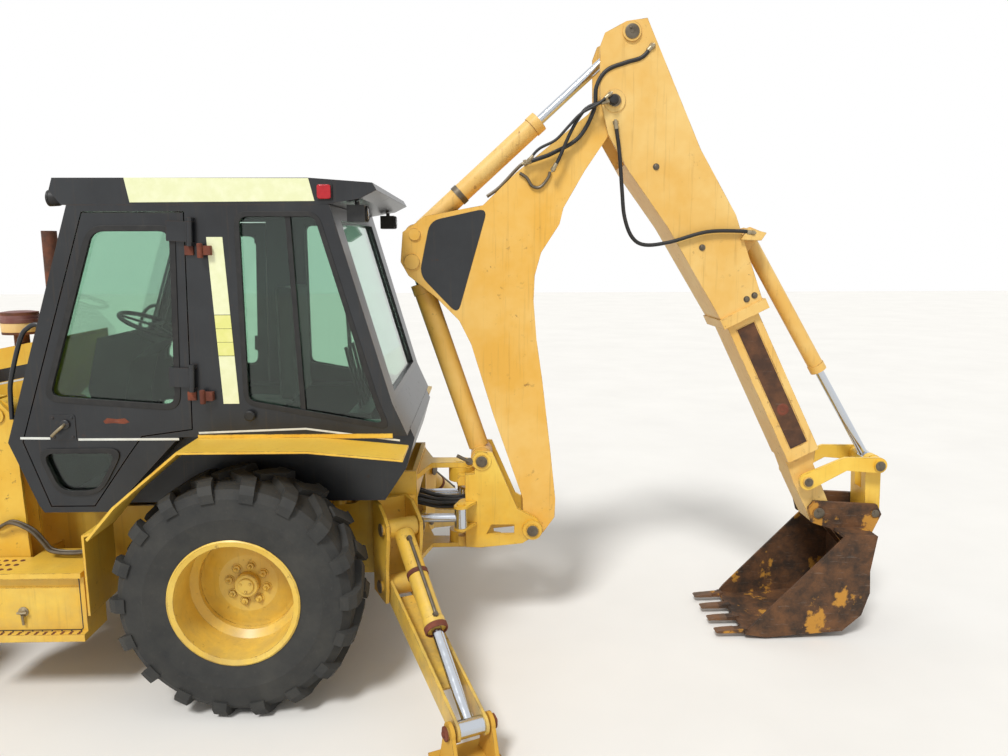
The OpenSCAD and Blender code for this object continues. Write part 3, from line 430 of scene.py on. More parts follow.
class Shape:
    """A mesh gathered from simple forms in drawing millimetres, then shown as one piece.

    It is drawn as on the machine's left; side -1 mirrors it to the right.
    """

    def __init__(self, side: int = 1) -> None:
        """Start empty on a side."""
        self.mesh = bmesh.new()
        self.side = side

    def mirrored(self, place: Point) -> Vector:
        """Return a point or a direction as it is on the shape's own side."""
        return Vector((place[0], self.side * place[1], place[2]))

    def prism(self, outline: Iterable[Point], y0: float, y1: float) -> "Shape":
        """Add an outline of the X-Z plane drawn out from y0 to y1."""
        ends = [[self.mesh.verts.new(at(x, self.side * y, z)) for x, z in outline]
                for y in (y0, y1)]
        self.skin(ends, close=True)
        return self

    def skin(self, rings: list[list[bmesh.types.BMVert]], close: bool) -> None:
        """Skin between rings of vertices, with a face on both ends where close is set."""
        n = len(rings[0])
        for a, b in zip(rings, rings[1:]):
            for i in range(n):
                self.mesh.faces.new((a[i], a[(i + 1) % n], b[(i + 1) % n], b[i]))
        if close:
            self.mesh.faces.new(rings[0][::-1])
            self.mesh.faces.new(rings[-1])

    def ring(self, outline: Sequence[Point], width: float, y0: float, y1: float,
             radius: float) -> "Shape":
        """Add a rounded frame of a width round an outline, from y0 to y1."""
        inner = rounded(outline, radius)
        outer = rounded(grown(outline, width), radius + width)
        rings = [[self.mesh.verts.new(at(x, self.side * y, z)) for x, z in line]
                 for line, y in ((inner, y0), (inner, y1), (outer, y1), (outer, y0))]
        self.skin([*rings, rings[0]], close=False)
        return self

    def box(self, low: Point, high: Point) -> "Shape":
        """Add a box between two corners."""
        x0, y0, z0 = low
        x1, y1, z1 = high
        return self.prism([(x0, z0), (x1, z0), (x1, z1), (x0, z1)], y0, y1)

    def lathe(self, foot: Point, axis: Point, profile: Iterable[Point],
              sides: int = 24, hollow: bool = False) -> "Shape":
        """Add a turned form.

        Args:
            foot: where the axis starts.
            axis: its direction.
            profile: pairs of distance along the axis and radius.
            sides: facets round the axis.
            hollow: whether the profile closes on itself round an open bore.
        """
        turn = Vector(UP).rotation_difference(self.mirrored(axis)).to_matrix()
        rings = []
        for along, radius in profile:
            ring = []
            for i in range(sides):
                a = math.tau * i / sides
                p = turn @ Vector((radius * math.cos(a), radius * math.sin(a), along))
                ring.append(self.mesh.verts.new(at(*(self.mirrored(foot) + p))))
            rings.append(ring)
        self.skin([*rings, rings[0]] if hollow else rings, close=not hollow)
        return self

    def bolt(self, foot: Point, axis: Point, across: float = 24.0) -> "Shape":
        """Add a hexagon head on a washer, standing on foot."""
        r, h = across * 0.577, across * 0.42
        self.lathe(foot, axis, [(0, r * 1.35), (h * 0.25, r * 1.35)], 16)
        return self.lathe(foot, axis, [(0, r), (h, r), (h * 1.15, r * 0.8)], 6)

    def tube(self, points: Sequence[Point], radius: float, sides: int = 10,
             rounds: int = 4) -> "Shape":
        """Add a round tube along a smooth curve through points.

        Args:
            points: route in mm.
            radius: outside radius in mm.
            sides: facets round the tube.
            rounds: curve steps between two points.
        """
        path = smooth([self.mirrored(p) for p in points], rounds)
        rings = []
        normal = None
        for i, p in enumerate(path):
            ahead = (path[min(i + 1, len(path) - 1)] - path[max(i - 1, 0)]).normalized()
            if normal is None:
                normal = ahead.orthogonal().normalized()
            normal = (normal - ahead * normal.dot(ahead)).normalized()
            other = ahead.cross(normal)
            rings.append([self.mesh.verts.new(at(*(p + radius * (
                normal * math.cos(math.tau * k / sides) + other * math.sin(math.tau * k / sides)))))
                for k in range(sides)])
        self.skin(rings, close=True)
        return self

    def piece(self, name: str, finish: str, body: str | None = Body.CHASSIS,
              bevel: float = 0.0) -> bpy.types.Object:
        """Turn the gathered mesh into an object.

        Args:
            name: the piece's name.
            finish: its finish, by name.
            body: body it rides on; None where it rides on none.
            bevel: width of rounded edges in mm; 0 for none.

        Returns:
            The new object.
        """
        bmesh.ops.recalc_face_normals(self.mesh, faces=self.mesh.faces[:])
        data = bpy.data.meshes.new(name)
        self.mesh.to_mesh(data)
        self.mesh.free()
        data.materials.append(Finishes.get(finish))
        obj = bpy.data.objects.new(name, data)
        bpy.context.scene.collection.objects.link(obj)
        data.shade_smooth()
        data.set_sharp_from_angle(angle=math.radians(35))
        if bevel:
            cut = obj.modifiers.new("rounded", "BEVEL")
            cut.width, cut.segments, cut.limit_method = bevel * MM, 2, "ANGLE"
            cut.angle_limit = math.radians(40)
            cut.harden_normals = True
        if body is not None:
            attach(obj, str(getattr(body, "value", body)))
        log.info("piece %s on %s", name, body)
        return obj


def smooth(points: Sequence[Point], rounds: int) -> list[Vector]:
    """Return a Catmull-Rom curve through points.

    Args:
        points: route to pass through.
        rounds: steps between two points.

    Returns:
        The curve's points, ends included.
    """
    p = [Vector(q) for q in points]
    p = [2 * p[0] - p[1], *p, 2 * p[-1] - p[-2]]
    out = []
    for a, b, c, d in zip(p, p[1:], p[2:], p[3:]):
        for i in range(rounds):
            t = i / rounds
            out.append(0.5 * (2 * b + (c - a) * t + (2 * a - 5 * b + 4 * c - d) * t * t
                              + (3 * b - a - 3 * c + d) * t ** 3))
    return [*out, p[-2]]


def grown(outline: Sequence[Point], d: float) -> list[tuple[float, float]]:
    """Return a clockwise outline with each edge moved out by d."""
    p = [Vector(q) for q in outline]
    out = []
    for i, corner in enumerate(p):
        before, after = corner - p[i - 1], p[(i + 1) % len(p)] - corner
        u = Vector((-before.y, before.x)).normalized()
        v = Vector((-after.y, after.x)).normalized()
        q = corner + d * (u + v) / (1 + u.dot(v))
        out.append((q.x, q.y))
    return out


def rounded(outline: Sequence[Point], radius: float, steps: int = 5) -> list[tuple[float, float]]:
    """Return an outline whose corners are rounded by curves of about a radius."""
    p = [Vector(q) for q in outline]
    out = []
    for i, corner in enumerate(p):
        a, b = p[i - 1] - corner, p[(i + 1) % len(p)] - corner
        cut = min(radius, a.length * 0.45, b.length * 0.45)
        start, end = corner + a.normalized() * cut, corner + b.normalized() * cut
        for k in range(steps + 1):
            t = k / steps
            q = start * (1 - t) ** 2 + corner * 2 * t * (1 - t) + end * t * t
            out.append((q.x, q.y))
    return out


@dataclass
class Studio:
    """Floor, lights and the camera at the photograph's place."""

    floor_z: float = -0.4
    camera_at: Point = (-1258.0, 4771.0, 2344.0)
    yaw: float = 0.0222103
    pitch: float = 0.1599063
    roll: float = 0.0025309
    focal_px: float = 791.22
    width_px: float = 1008.0

    def build(self) -> None:
        """Make the floor, the light and the camera."""
        self.floor()
        self.lights()
        self.camera()

    def floor(self) -> None:
        """Make a pale floor that keeps the object's shadow."""
        size = 40.0
        mesh = bpy.data.meshes.new("floor")
        mesh.from_pydata([(-size, -size, 0), (size, -size, 0), (size, size, 0), (-size, size, 0)],
                         [], [(0, 1, 2, 3)])
        f = Finish("pale_floor")
        colour = f.over(f.cloud(0.8, 3, 0.3, 0.7), "#E4E2DD", "#E9E7E2")
        mesh.materials.append(f.done({"Roughness": 0.9}, {"Base Color": colour}, 60, 0.0005))
        obj = bpy.data.objects.new("floor", mesh)
        bpy.context.scene.collection.objects.link(obj)

    def lights(self) -> None:
        """Make a soft sun from high on the left and a pale world."""
        world = bpy.data.worlds.new("pale_world")
        bpy.context.scene.world = world
        world.use_nodes = True
        nodes = world.node_tree.nodes
        path = nodes.new("ShaderNodeLightPath").outputs
        seen = path["Is Camera Ray"]
        for other in ("Is Glossy Ray", "Is Transmission Ray"):
            seen = settle(nodes.new("ShaderNodeMath"), {"operation": "MAXIMUM"},
                          {0: seen, 1: path[other]}).outputs[0]
        level = settle(nodes.new("ShaderNodeMapRange"), {"To Min": 0.62}, {"Value": seen})
        settle(nodes["Background"], {"Color": (1, 1, 1, 1)}, {"Strength": level.outputs[0]})
        sun = bpy.data.lights.new("soft_sun", "SUN")
        sun.energy, sun.angle = 2.4, math.radians(14)
        lamp = bpy.data.objects.new("soft_sun", sun)
        lamp.rotation_euler = Vector((-0.35, -0.75, -1.0)).to_track_quat("-Z", "Y").to_euler()
        bpy.context.scene.collection.objects.link(lamp)

    def camera(self) -> None:
        """Place the camera as the photograph's was."""
        ahead = Vector((-math.sin(self.yaw), -math.cos(self.yaw), 0))
        right = Vector((-math.cos(self.yaw), math.sin(self.yaw), 0))
        down = Vector((0, 0, -1))
        look = ahead * math.cos(self.pitch) + down * math.sin(self.pitch)
        below = down * math.cos(self.pitch) - ahead * math.sin(self.pitch)
        side = right * math.cos(self.roll) + below * math.sin(self.roll)
        below = below * math.cos(self.roll) - right * math.sin(self.roll)
        data = bpy.data.cameras.new("camera")
        data.sensor_width = 36.0
        data.lens = self.focal_px / self.width_px * data.sensor_width
        obj = bpy.data.objects.new("camera", data)
        turn = Matrix((side, -below, -look)).transposed()
        obj.matrix_world = Matrix.Translation(at(*self.camera_at)) @ turn.to_4x4()
        bpy.context.scene.collection.objects.link(obj)
        bpy.context.scene.camera = obj


# Part of a node's name and its finish; the first that fits is taken
NODE_FINISHES = (
    ("glass", "glass"), ("_rod", "chrome"), ("tyre", "tyre"), ("rim", "wheel"),
    ("cab_", "black"), ("door", "black"), ("grille", "black"), ("drivetrain", "engine"),
    ("controls", "plastic"), ("lamps", "plastic"), ("seat", "cloth"), ("stacks", "exhaust"),
    ("hoe_bucket", "bucket"), ("loader_bucket", "loader"), ("pad_", "pad"), ("leg_", "leg"),
    ("boom", "boom"), ("stick", "stick"), ("bucket_barrel", "stick"), ("", "yellow"),
)


def dress_nodes(nodes: dict[str, bpy.types.Object]) -> None:
    """Give every node of the frame its finish.

    Args:
        nodes: node name to object.
    """
    for name, obj in nodes.items():
        key = next(finish for part, finish in NODE_FINISHES if part in name)
        obj.data.materials.clear()
        obj.data.materials.append(Finishes.get(key))


@dataclass
class Hose:
    """A rubber hose along a sagging route between two fittings, which sit on two bodies."""

    name: str
    points: Sequence[Point]
    radius: float
    bodies: tuple[Body, Body]

    def build(self) -> None:
        """Add the hose and its two fittings, each fitting on its body."""
        steps = 6
        hose = Shape().tube(self.points, self.radius, 12, steps)
        obj = hose.piece(self.name, "hose", None)
        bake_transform(obj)
        ends = ((0, 1, self.bodies[0], "start"), (-1, -2, self.bodies[1], "end"))
        for first, second, body, tag in ends:
            foot, ahead = Vector(self.points[first]), Vector(self.points[second])
            axis = (ahead - foot).normalized()
            r = self.radius
            fitting = Shape().lathe(foot - 16 * axis, axis, [
                (0, r * 0.7), (14, r * 0.7), (16, r * 1.25), (52, r * 1.2)], 16)
            fitting.lathe(foot - 8 * axis, axis, [(0, r * 1.5), (18, r * 1.5)], 6)
            fitting.piece(f"{self.name}_fitting_{tag}", "zinc", body)


@dataclass
class Cab:
    """Seals, strips, fittings, lamps and the seat of the cab."""

    wall: float = 755.0  # outer face of doors and pillars

    def build(self) -> None:
        """Add each part of the cab's dress, on the left and on the right."""
        for s, body, tag in ((1, Body.DOOR_LEFT, "left"), (-1, Body.DOOR_RIGHT, "right")):
            self.door(s, body, tag)
            self.strips(s, tag)
            self.fittings(s, tag)
        self.seat()

    def door(self, s: int, body: Body, tag: str) -> None:
        """Add seals, latch, hinge pins, rust patch and line of a door."""
        wall = self.wall
        window = [(300, 2450), (690, 2450), (975, 1610), (330, 1560)]
        foot_window = [(640, 1325), (1040, 1325), (960, 1110), (760, 1110)]
        seals = Shape(s).ring(grown(window, -8), 30, wall - 14, wall + 6, 55)
        seals.ring(grown(foot_window, -8), 26, wall - 14, wall + 10, 60)
        seals.piece(f"door_seals_{tag}", "rubber", body, 2)
        latch = [(850, 1387), (978, 1387), (978, 1519), (850, 1519)]
        plate = Shape(s).prism(rounded(latch, 14), wall, wall + 4)
        for x, z in ((866, 1403), (962, 1403), (866, 1503), (962, 1503)):
            plate.bolt((x, wall + 4, z), SIDEWAYS, 11)
        plate.lathe((900, wall + 4, 1470), SIDEWAYS, [(0, 24), (10, 24), (13, 19)])
        plate.piece(f"door_latch_plate_{tag}", "black", body, 1)
        handle = Shape(s).tube([(900, wall + 14, 1470), (905, wall + 34, 1462),
                               (930, wall + 40, 1440), (956, wall + 40, 1416)], 8)
        handle.piece(f"door_handle_{tag}", "zinc", body)
        pins, leaves = Shape(s), Shape(s)
        for x, z, length in ((152, 2316, 63), (184, 1583, 62)):
            pins.lathe((x, wall + 33, z), UP,
                       [(-6, 9), (-6, 13), (0, 14), (length, 14), (length + 4, 11)])
            pins.prism([(x - 50, z + 8), (x - 4, z + 8), (x - 4, z + length - 8),
                        (x - 50, z + length - 8)], wall - 1, wall + 32)
            leaves.prism([(x + 40, z + 8), (x + 84, z + 8), (x + 84, z + length - 8),
                          (x + 40, z + length - 8)], wall - 0.5, wall + 12)
        pins.piece(f"door_hinge_pins_{tag}", "bush", Body.CHASSIS, 2)
        leaves.piece(f"door_hinge_leaves_{tag}", "bush", body, 2)
        if s > 0:
            patch = [(575, 1478), (602, 1469), (655, 1474), (700, 1471), (709, 1484), (688, 1501),
                     (640, 1495), (598, 1499)]
            Shape(s).prism(patch, wall - FILM, wall + 0.6).piece(
                "door_rust_patch", "bush", body)
        line = Shape(s)
        for x0, x1, z in ((1137, 985, 1404), (843, 330, 1395)):
            line.prism([(x0, z), (x1, z - 2), (x1, z - 14), (x0, z - 12)],
                       wall - FILM, wall + 0.8)
        line.piece(f"door_white_line_{tag}", "white", body)

    def strips(self, s: int, tag: str) -> None:
        """Add the pale strips on roof and pillar, and the white line behind the door."""
        y0, y1 = self.wall - FILM, self.wall + 3
        pale = Shape(s).prism([(511, 2700), (490, 2581), (-414, 2587), (-387, 2697)], y0, y1)
        old = Shape(s)
        for shape, top, low in ((pale, 2413, 2028), (pale, 1817, 1571), (old, 2025, 1958),
                                (old, 1956, 1889), (old, 1887, 1820)):
            a, b = (128 - (2413 - z) * 0.045 for z in (top, low))
            shape.prism([(a, top), (a - 80, top), (b - 80, low), (b, low)], y0, y1)
        pale.piece(f"pale_strips_{tag}", "strip", Body.CHASSIS, 0.8)
        old.piece(f"yellowed_strip_{tag}", "strip_old", Body.CHASSIS, 0.8)
        line = [(227, 1424), (-323, 1442), (-806, 1376), (-806, 1366), (-323, 1432), (227, 1414)]
        Shape(s).prism(line, y0, self.wall + 0.8).piece(f"white_line_{tag}", "white")

    def fittings(self, s: int, tag: str) -> None:
        """Add window seal and mullion, window knob, grab tube and lamps."""
        wall = self.wall
        window = [(-30, 1580), (-735, 1450), (-690, 1560), (-415, 2520), (-30, 2520)]
        seal = Shape(s).ring(grown(window, -8), 26, wall - 14, wall + 4, 40)
        seal.prism([(-262, 2516), (-288, 2516), (-326, 1512), (-300, 1512)],
                   wall - 22, wall - 6)
        seal.lathe((-45, wall + 3, 1511), SIDEWAYS,
                   [(0, 12), (8, 12), (12, 26), (24, 28), (30, 22)])
        seal.piece(f"side_window_seal_{tag}", "rubber", Body.CHASSIS, 1.5)
        y = wall - 34
        grab = [(1189, y, 1491), (1186, y, 1600), (1174, y, 1699), (1108, y, 1904),
                (1064, y, 1962), (1016, y, 1979), (954, y, 1954)]
        Shape(s).tube(grab, 12, 12, 5).piece(f"grab_tube_{tag}", "black")
        lamp = [(-504, 2590), (-424, 2590), (-424, 2672), (-504, 2672)]
        base = Shape(s).prism(rounded(lamp, 12), wall - 6, wall + 8)
        base.piece(f"side_lamp_base_{tag}", "rubber", Body.CHASSIS, 1)
        red = Shape(s).prism(rounded(grown(lamp[::-1], -6), 14), wall + 7, wall + 24)
        red.piece(f"side_lamp_lens_{tag}", "red_lens", Body.CHASSIS, 5)
        lenses = Shape(s)
        rims = Shape(s)
        for x, y, z, way in ((-651, 640, 2530, -1), (905, 690, 2606, 1)):
            rims.lathe((x - way * 4, y, z), (way, 0, 0),
                       [(0, 36), (2, 40), (12, 40), (14, 37), (9, 35), (5, 34)])
            lenses.lathe((x, y, z), (way, 0, 0), [(0, 34), (5, 34), (9, 26), (11, 12), (11.5, 2)])
        rims.lathe((840, 690, 2606), (1, 0, 0), [(0, 16), (8, 30), (26, 38), (61, 40)])
        rims.lathe((868, 690, 2640), UP, [(0, 10), (34, 10)], 12)
        rims.piece(f"work_lamp_rims_{tag}", "rubber")
        lenses.piece(f"work_lamp_lenses_{tag}", "lens")

    def seat(self) -> None:
        """Replace the seat's plain solid by a stuffed cushion and back on a bellows base."""
        base = Shape()
        for i in range(6):
            z = 1046 + 46 * i
            base.prism([(-60, z), (190, z), (204, z + 23), (190, z + 46), (-60, z + 46),
                        (-74, z + 23)], -170, 170)
        base.piece("seat_bellows", "rubber", Body.CHASSIS, 6)
        pads = (("seat_cushion", (-104, -224, 1340), (244, 224, 1440)),
                ("seat_back", (-138, -220, 1480), (-62, 220, 2150)))
        for name, low, high in pads:
            pad = Shape().box(low, high).piece(name, "cloth")
            inflate(pad, 0.014)
            if name == "seat_cushion":
                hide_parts("operator_seat")
            x0, y0, z0 = low
            x1, y1, z1 = high
            piping = Shape()
            if name == "seat_cushion":
                for y in (y0 + 70, 0, y1 - 70):
                    piping.tube([(x0 + 20, y, z1 + 5), (0.5 * (x0 + x1), y, z1 + 12),
                                 (x1 - 14, y, z1 + 4)], 4, 8)
            else:
                for z in (z0 + 150, z0 + 300, z0 + 450):
                    piping.tube([(x1 + 4, y0 + 24, z), (x1 + 12, 0, z), (x1 + 4, y1 - 24, z)], 4, 8)
            piping.piece(f"{name}_welts", "rubber")


def inflate(pad: bpy.types.Object, cap: float) -> None:
    """Swell a pad by a cloth simulation with pressure, and round it.

    Args:
        pad: the pad, a little smaller than its space.
        cap: how far a point may move, in metres.
    """
    pad.modifiers.new("even", "REMESH").voxel_size = 0.007
    graph = bpy.context.evaluated_depsgraph_get()
    pad.data = bpy.data.meshes.new_from_object(pad.evaluated_get(graph))
    pad.modifiers.clear()
    start = [v.co.copy() for v in pad.data.vertices]
    cloth = pad.modifiers.new("stuffed", "CLOTH").settings
    cloth.use_pressure = True
    cloth.uniform_pressure_force = 4.0
    cloth.effector_weights.gravity = 0.0
    for frame in range(1, 21):
        bpy.context.scene.frame_set(frame)
    graph = bpy.context.evaluated_depsgraph_get()
    swollen = bpy.data.meshes.new_from_object(pad.evaluated_get(graph))
    for vertex, old in zip(swollen.vertices, start):
        move = vertex.co - old
        vertex.co = old + move * min(1.0, cap / max(move.length, 1e-9))
    pad.modifiers.clear()
    pad.data = swollen
    bpy.context.scene.frame_set(1)
    pad.data.shade_smooth()
    soft = pad.modifiers.new("soft", "SMOOTH")
    soft.factor, soft.iterations = 0.5, 12


def skin_point(node: bpy.types.Object, side: int, x: float, z: float) -> Vector:
    """Return a node's outermost point (mm) on a side at X and Z, as drawn on the left."""
    hit, place, _, _ = node.ray_cast(at(x, side * OUTSIDE, z), Vector((0, -side, 0)))
    if not hit:
        raise ValueError(f"no face of {node.name} at {x:.0f}, {z:.0f}")
    return Vector((place.x / MM + MIDDLE_X, side * place.y / MM, place.z / MM))


@dataclass
class Chassis:
    """Wheel nuts, hood bands, air cleaner, lockers and pipes of the chassis."""

    nodes: dict[str, bpy.types.Object]
    hood_side: float = 430.0
    locker_side: float = 880.0

    def build(self) -> None:
        """Add each part of the chassis' dress."""
        for s, tag in SIDES:
            self.wheel(s, f"rear_wheel_{tag}", (0, 622.5), 8, 98, 34)
            self.wheel(s, f"front_wheel_{tag}", (2100, 415), 6, 66, 26)
            self.hood(s, tag)
            self.locker(s, tag)
        self.cleaner()

    def wheel(self, s: int, name: str, middle: tuple[float, float], count: int, ring: float,
              across: float) -> None:
        """Add the nuts on their studs round a hub, and the hub's cap.

        Args:
            s: side of the machine.
            name: the wheel's body; its rim is named alike.
            middle: X and Z of the axle in mm.
            count: number of nuts.
            ring: radius of their circle in mm.
            across: width of a nut in mm.
        """
        rim = name.replace("wheel", "rim")
        x, z = middle
        nuts = Shape(s)
        for i in range(count):
            a = math.tau * i / count + 0.2
            face = skin_point(self.nodes[rim], s, x + ring * math.cos(a), z + ring * math.sin(a))
            nuts.bolt(face, SIDEWAYS, across)
            nuts.lathe(face, SIDEWAYS, [(0, 7), (across * 0.8, 7), (across * 0.9, 5)], 10)
        hub = skin_point(self.nodes[rim], s, x, z)
        r = ring * 0.62
        nuts.lathe(hub, SIDEWAYS, [(0, r), (5, r), (8, r * 0.93), (8, r * 0.7), (16, r * 0.66),
                                   (19, r * 0.5), (20, 3)], 32)
        for i in range(3):
            a = math.tau * i / 3 + 0.5
            nuts.bolt(hub + Vector((r * 0.45 * math.cos(a), 18, r * 0.45 * math.sin(a))),
                      SIDEWAYS, 10)
        nuts.piece(f"{rim}_hub_and_nuts", "wheel", name)

    def hood(self, s: int, tag: str) -> None:
        """Add the black band, the white line and the bolts of the hood's side."""
        y0, y1 = self.hood_side - FILM, self.hood_side + 1
        band = [(1232, 1672), (1232, 1742), (2540, 1487), (2540, 1417)]
        Shape(s).prism(rounded(band, 8), y0, y1).piece(f"hood_band_{tag}", "black")
        line = [(1232, 1658), (1232, 1668), (2540, 1413), (2540, 1403)]
        Shape(s).prism(line, y0, y1).piece(f"hood_line_{tag}", "white")
        bolts = Shape(s)
        for x in (1260, 1700, 2140, 2480):
            bolts.bolt((x, self.hood_side, 1040), SIDEWAYS, 18)
        bolts.piece(f"hood_bolts_{tag}", "zinc")

    def cleaner(self) -> None:
        """Add the air cleaner's bowl and cap, and a clamp on the exhaust."""
        foot = (1424, 160, 1870)
        bowl = Shape().lathe(foot, UP, [(6, 60), (8, 84), (22, 99), (70, 100.5), (74, 98)], 36)
        bowl.piece("cleaner_bowl", "cream")
        cap = Shape().lathe(foot, UP, [(72, 99), (74, 103), (94, 103), (96, 100), (112, 100),
                                              (134, 88), (138, 60), (138, 8)], 36)
        cap.piece("cleaner_cap", "cap")
        clamp = Shape().lathe((1440, -260, 1880), UP, [(0, 37), (0, 43), (22, 43), (22, 37)],
                              24, True)
        clamp.bolt((1440, -218, 1891), SIDEWAYS, 14)
        clamp.piece("exhaust_clamp", "zinc")

    def locker(self, s: int, tag: str) -> None:
        """Add the door seam, latch, spot welds, step holes and pipes of a locker."""
        y = self.locker_side
        seam = Shape(s).ring([(842, 690), (842, 412), (1468, 412), (1468, 690)][::-1], 5,
                            y - 1, y + 1.2, 12)
        for i in range(13):
            seam.lathe((850 + i * 50, y - 0.3, 402), SIDEWAYS, [(0, 5), (1, 5), (1.6, 3)], 10)
        seam.piece(f"locker_seam_{tag}", "black")
        latch = Shape(s).lathe((1135, y, 512), SIDEWAYS, [(0, 26), (5, 26), (7, 20), (16, 14)])
        latch.tube([(1112, y + 18, 512), (1135, y + 22, 512),
                    (1158, y + 18, 512)], 7)
        latch.tube([(1135, y + 18, 500), (1135, y + 12, 445)], 7)
        latch.piece(f"locker_latch_{tag}", "zinc")
        holes = Shape(s)
        for i in range(15):
            for row in (892, 908):
                holes.lathe((850 + i * 44, row, 400.8), UP, [(0, 9), (0.8, 9), (0.6, 7)],
                            14)
        for i in range(7):
            for row in (730, 790, 850):
                holes.lathe((1204 + i * 44, row, 727.8), UP,
                            [(0, 13), (0.8, 13), (3.4, 9), (3.2, 7)], 14)
        holes.piece(f"step_holes_{tag}", "bush")
        pipes = Shape(s)
        for y in (684, 712):
            pipes.tube([(1378, 648, 868), (1350, y - 12, 886), (1263, y, 931), (1161, y, 885),
                        (1103, y, 817), (1064, y, 771), (958, y, 758),
                        (849, y, 768)], 9, 10, 5)
        pipes.piece(f"side_pipes_{tag}", "pin")


@dataclass
class Loader:
    """Pin heads of the loader."""

    tower_side: float = 679.0
    arm_side: float = 640.0

    def build(self) -> None:
        """Add each part of the loader's dress."""
        for s, tag in SIDES:
            heads = Shape(s)
            heads.bolt((1300, self.tower_side, 1500), SIDEWAYS, 30)
            heads.piece(f"arm_pivot_bolt_{tag}", "zinc")
            heads = Shape(s)
            for x, z in ((2250, 1130), (3150, 230)):
                heads.lathe((x, self.arm_side, z), SIDEWAYS,
                            [(0, 34), (6, 34), (10, 28), (10, 4)], 28)
                heads.bolt((x + 6, self.arm_side + 9, z + 14), SIDEWAYS, 14)
            heads.piece(f"arm_pin_heads_{tag}", "pin", Body.ARMS)


def on_stick(along: float, across: float) -> tuple[float, float]:
    """Return X and Z (mm) of a point along and across the stick from its pivot."""
    sin, cos = math.sin(STICK_LEAN), math.cos(STICK_LEAN)
    x, z = STICK_PIVOT
    return x - along * sin - across * cos, z - along * cos + across * sin


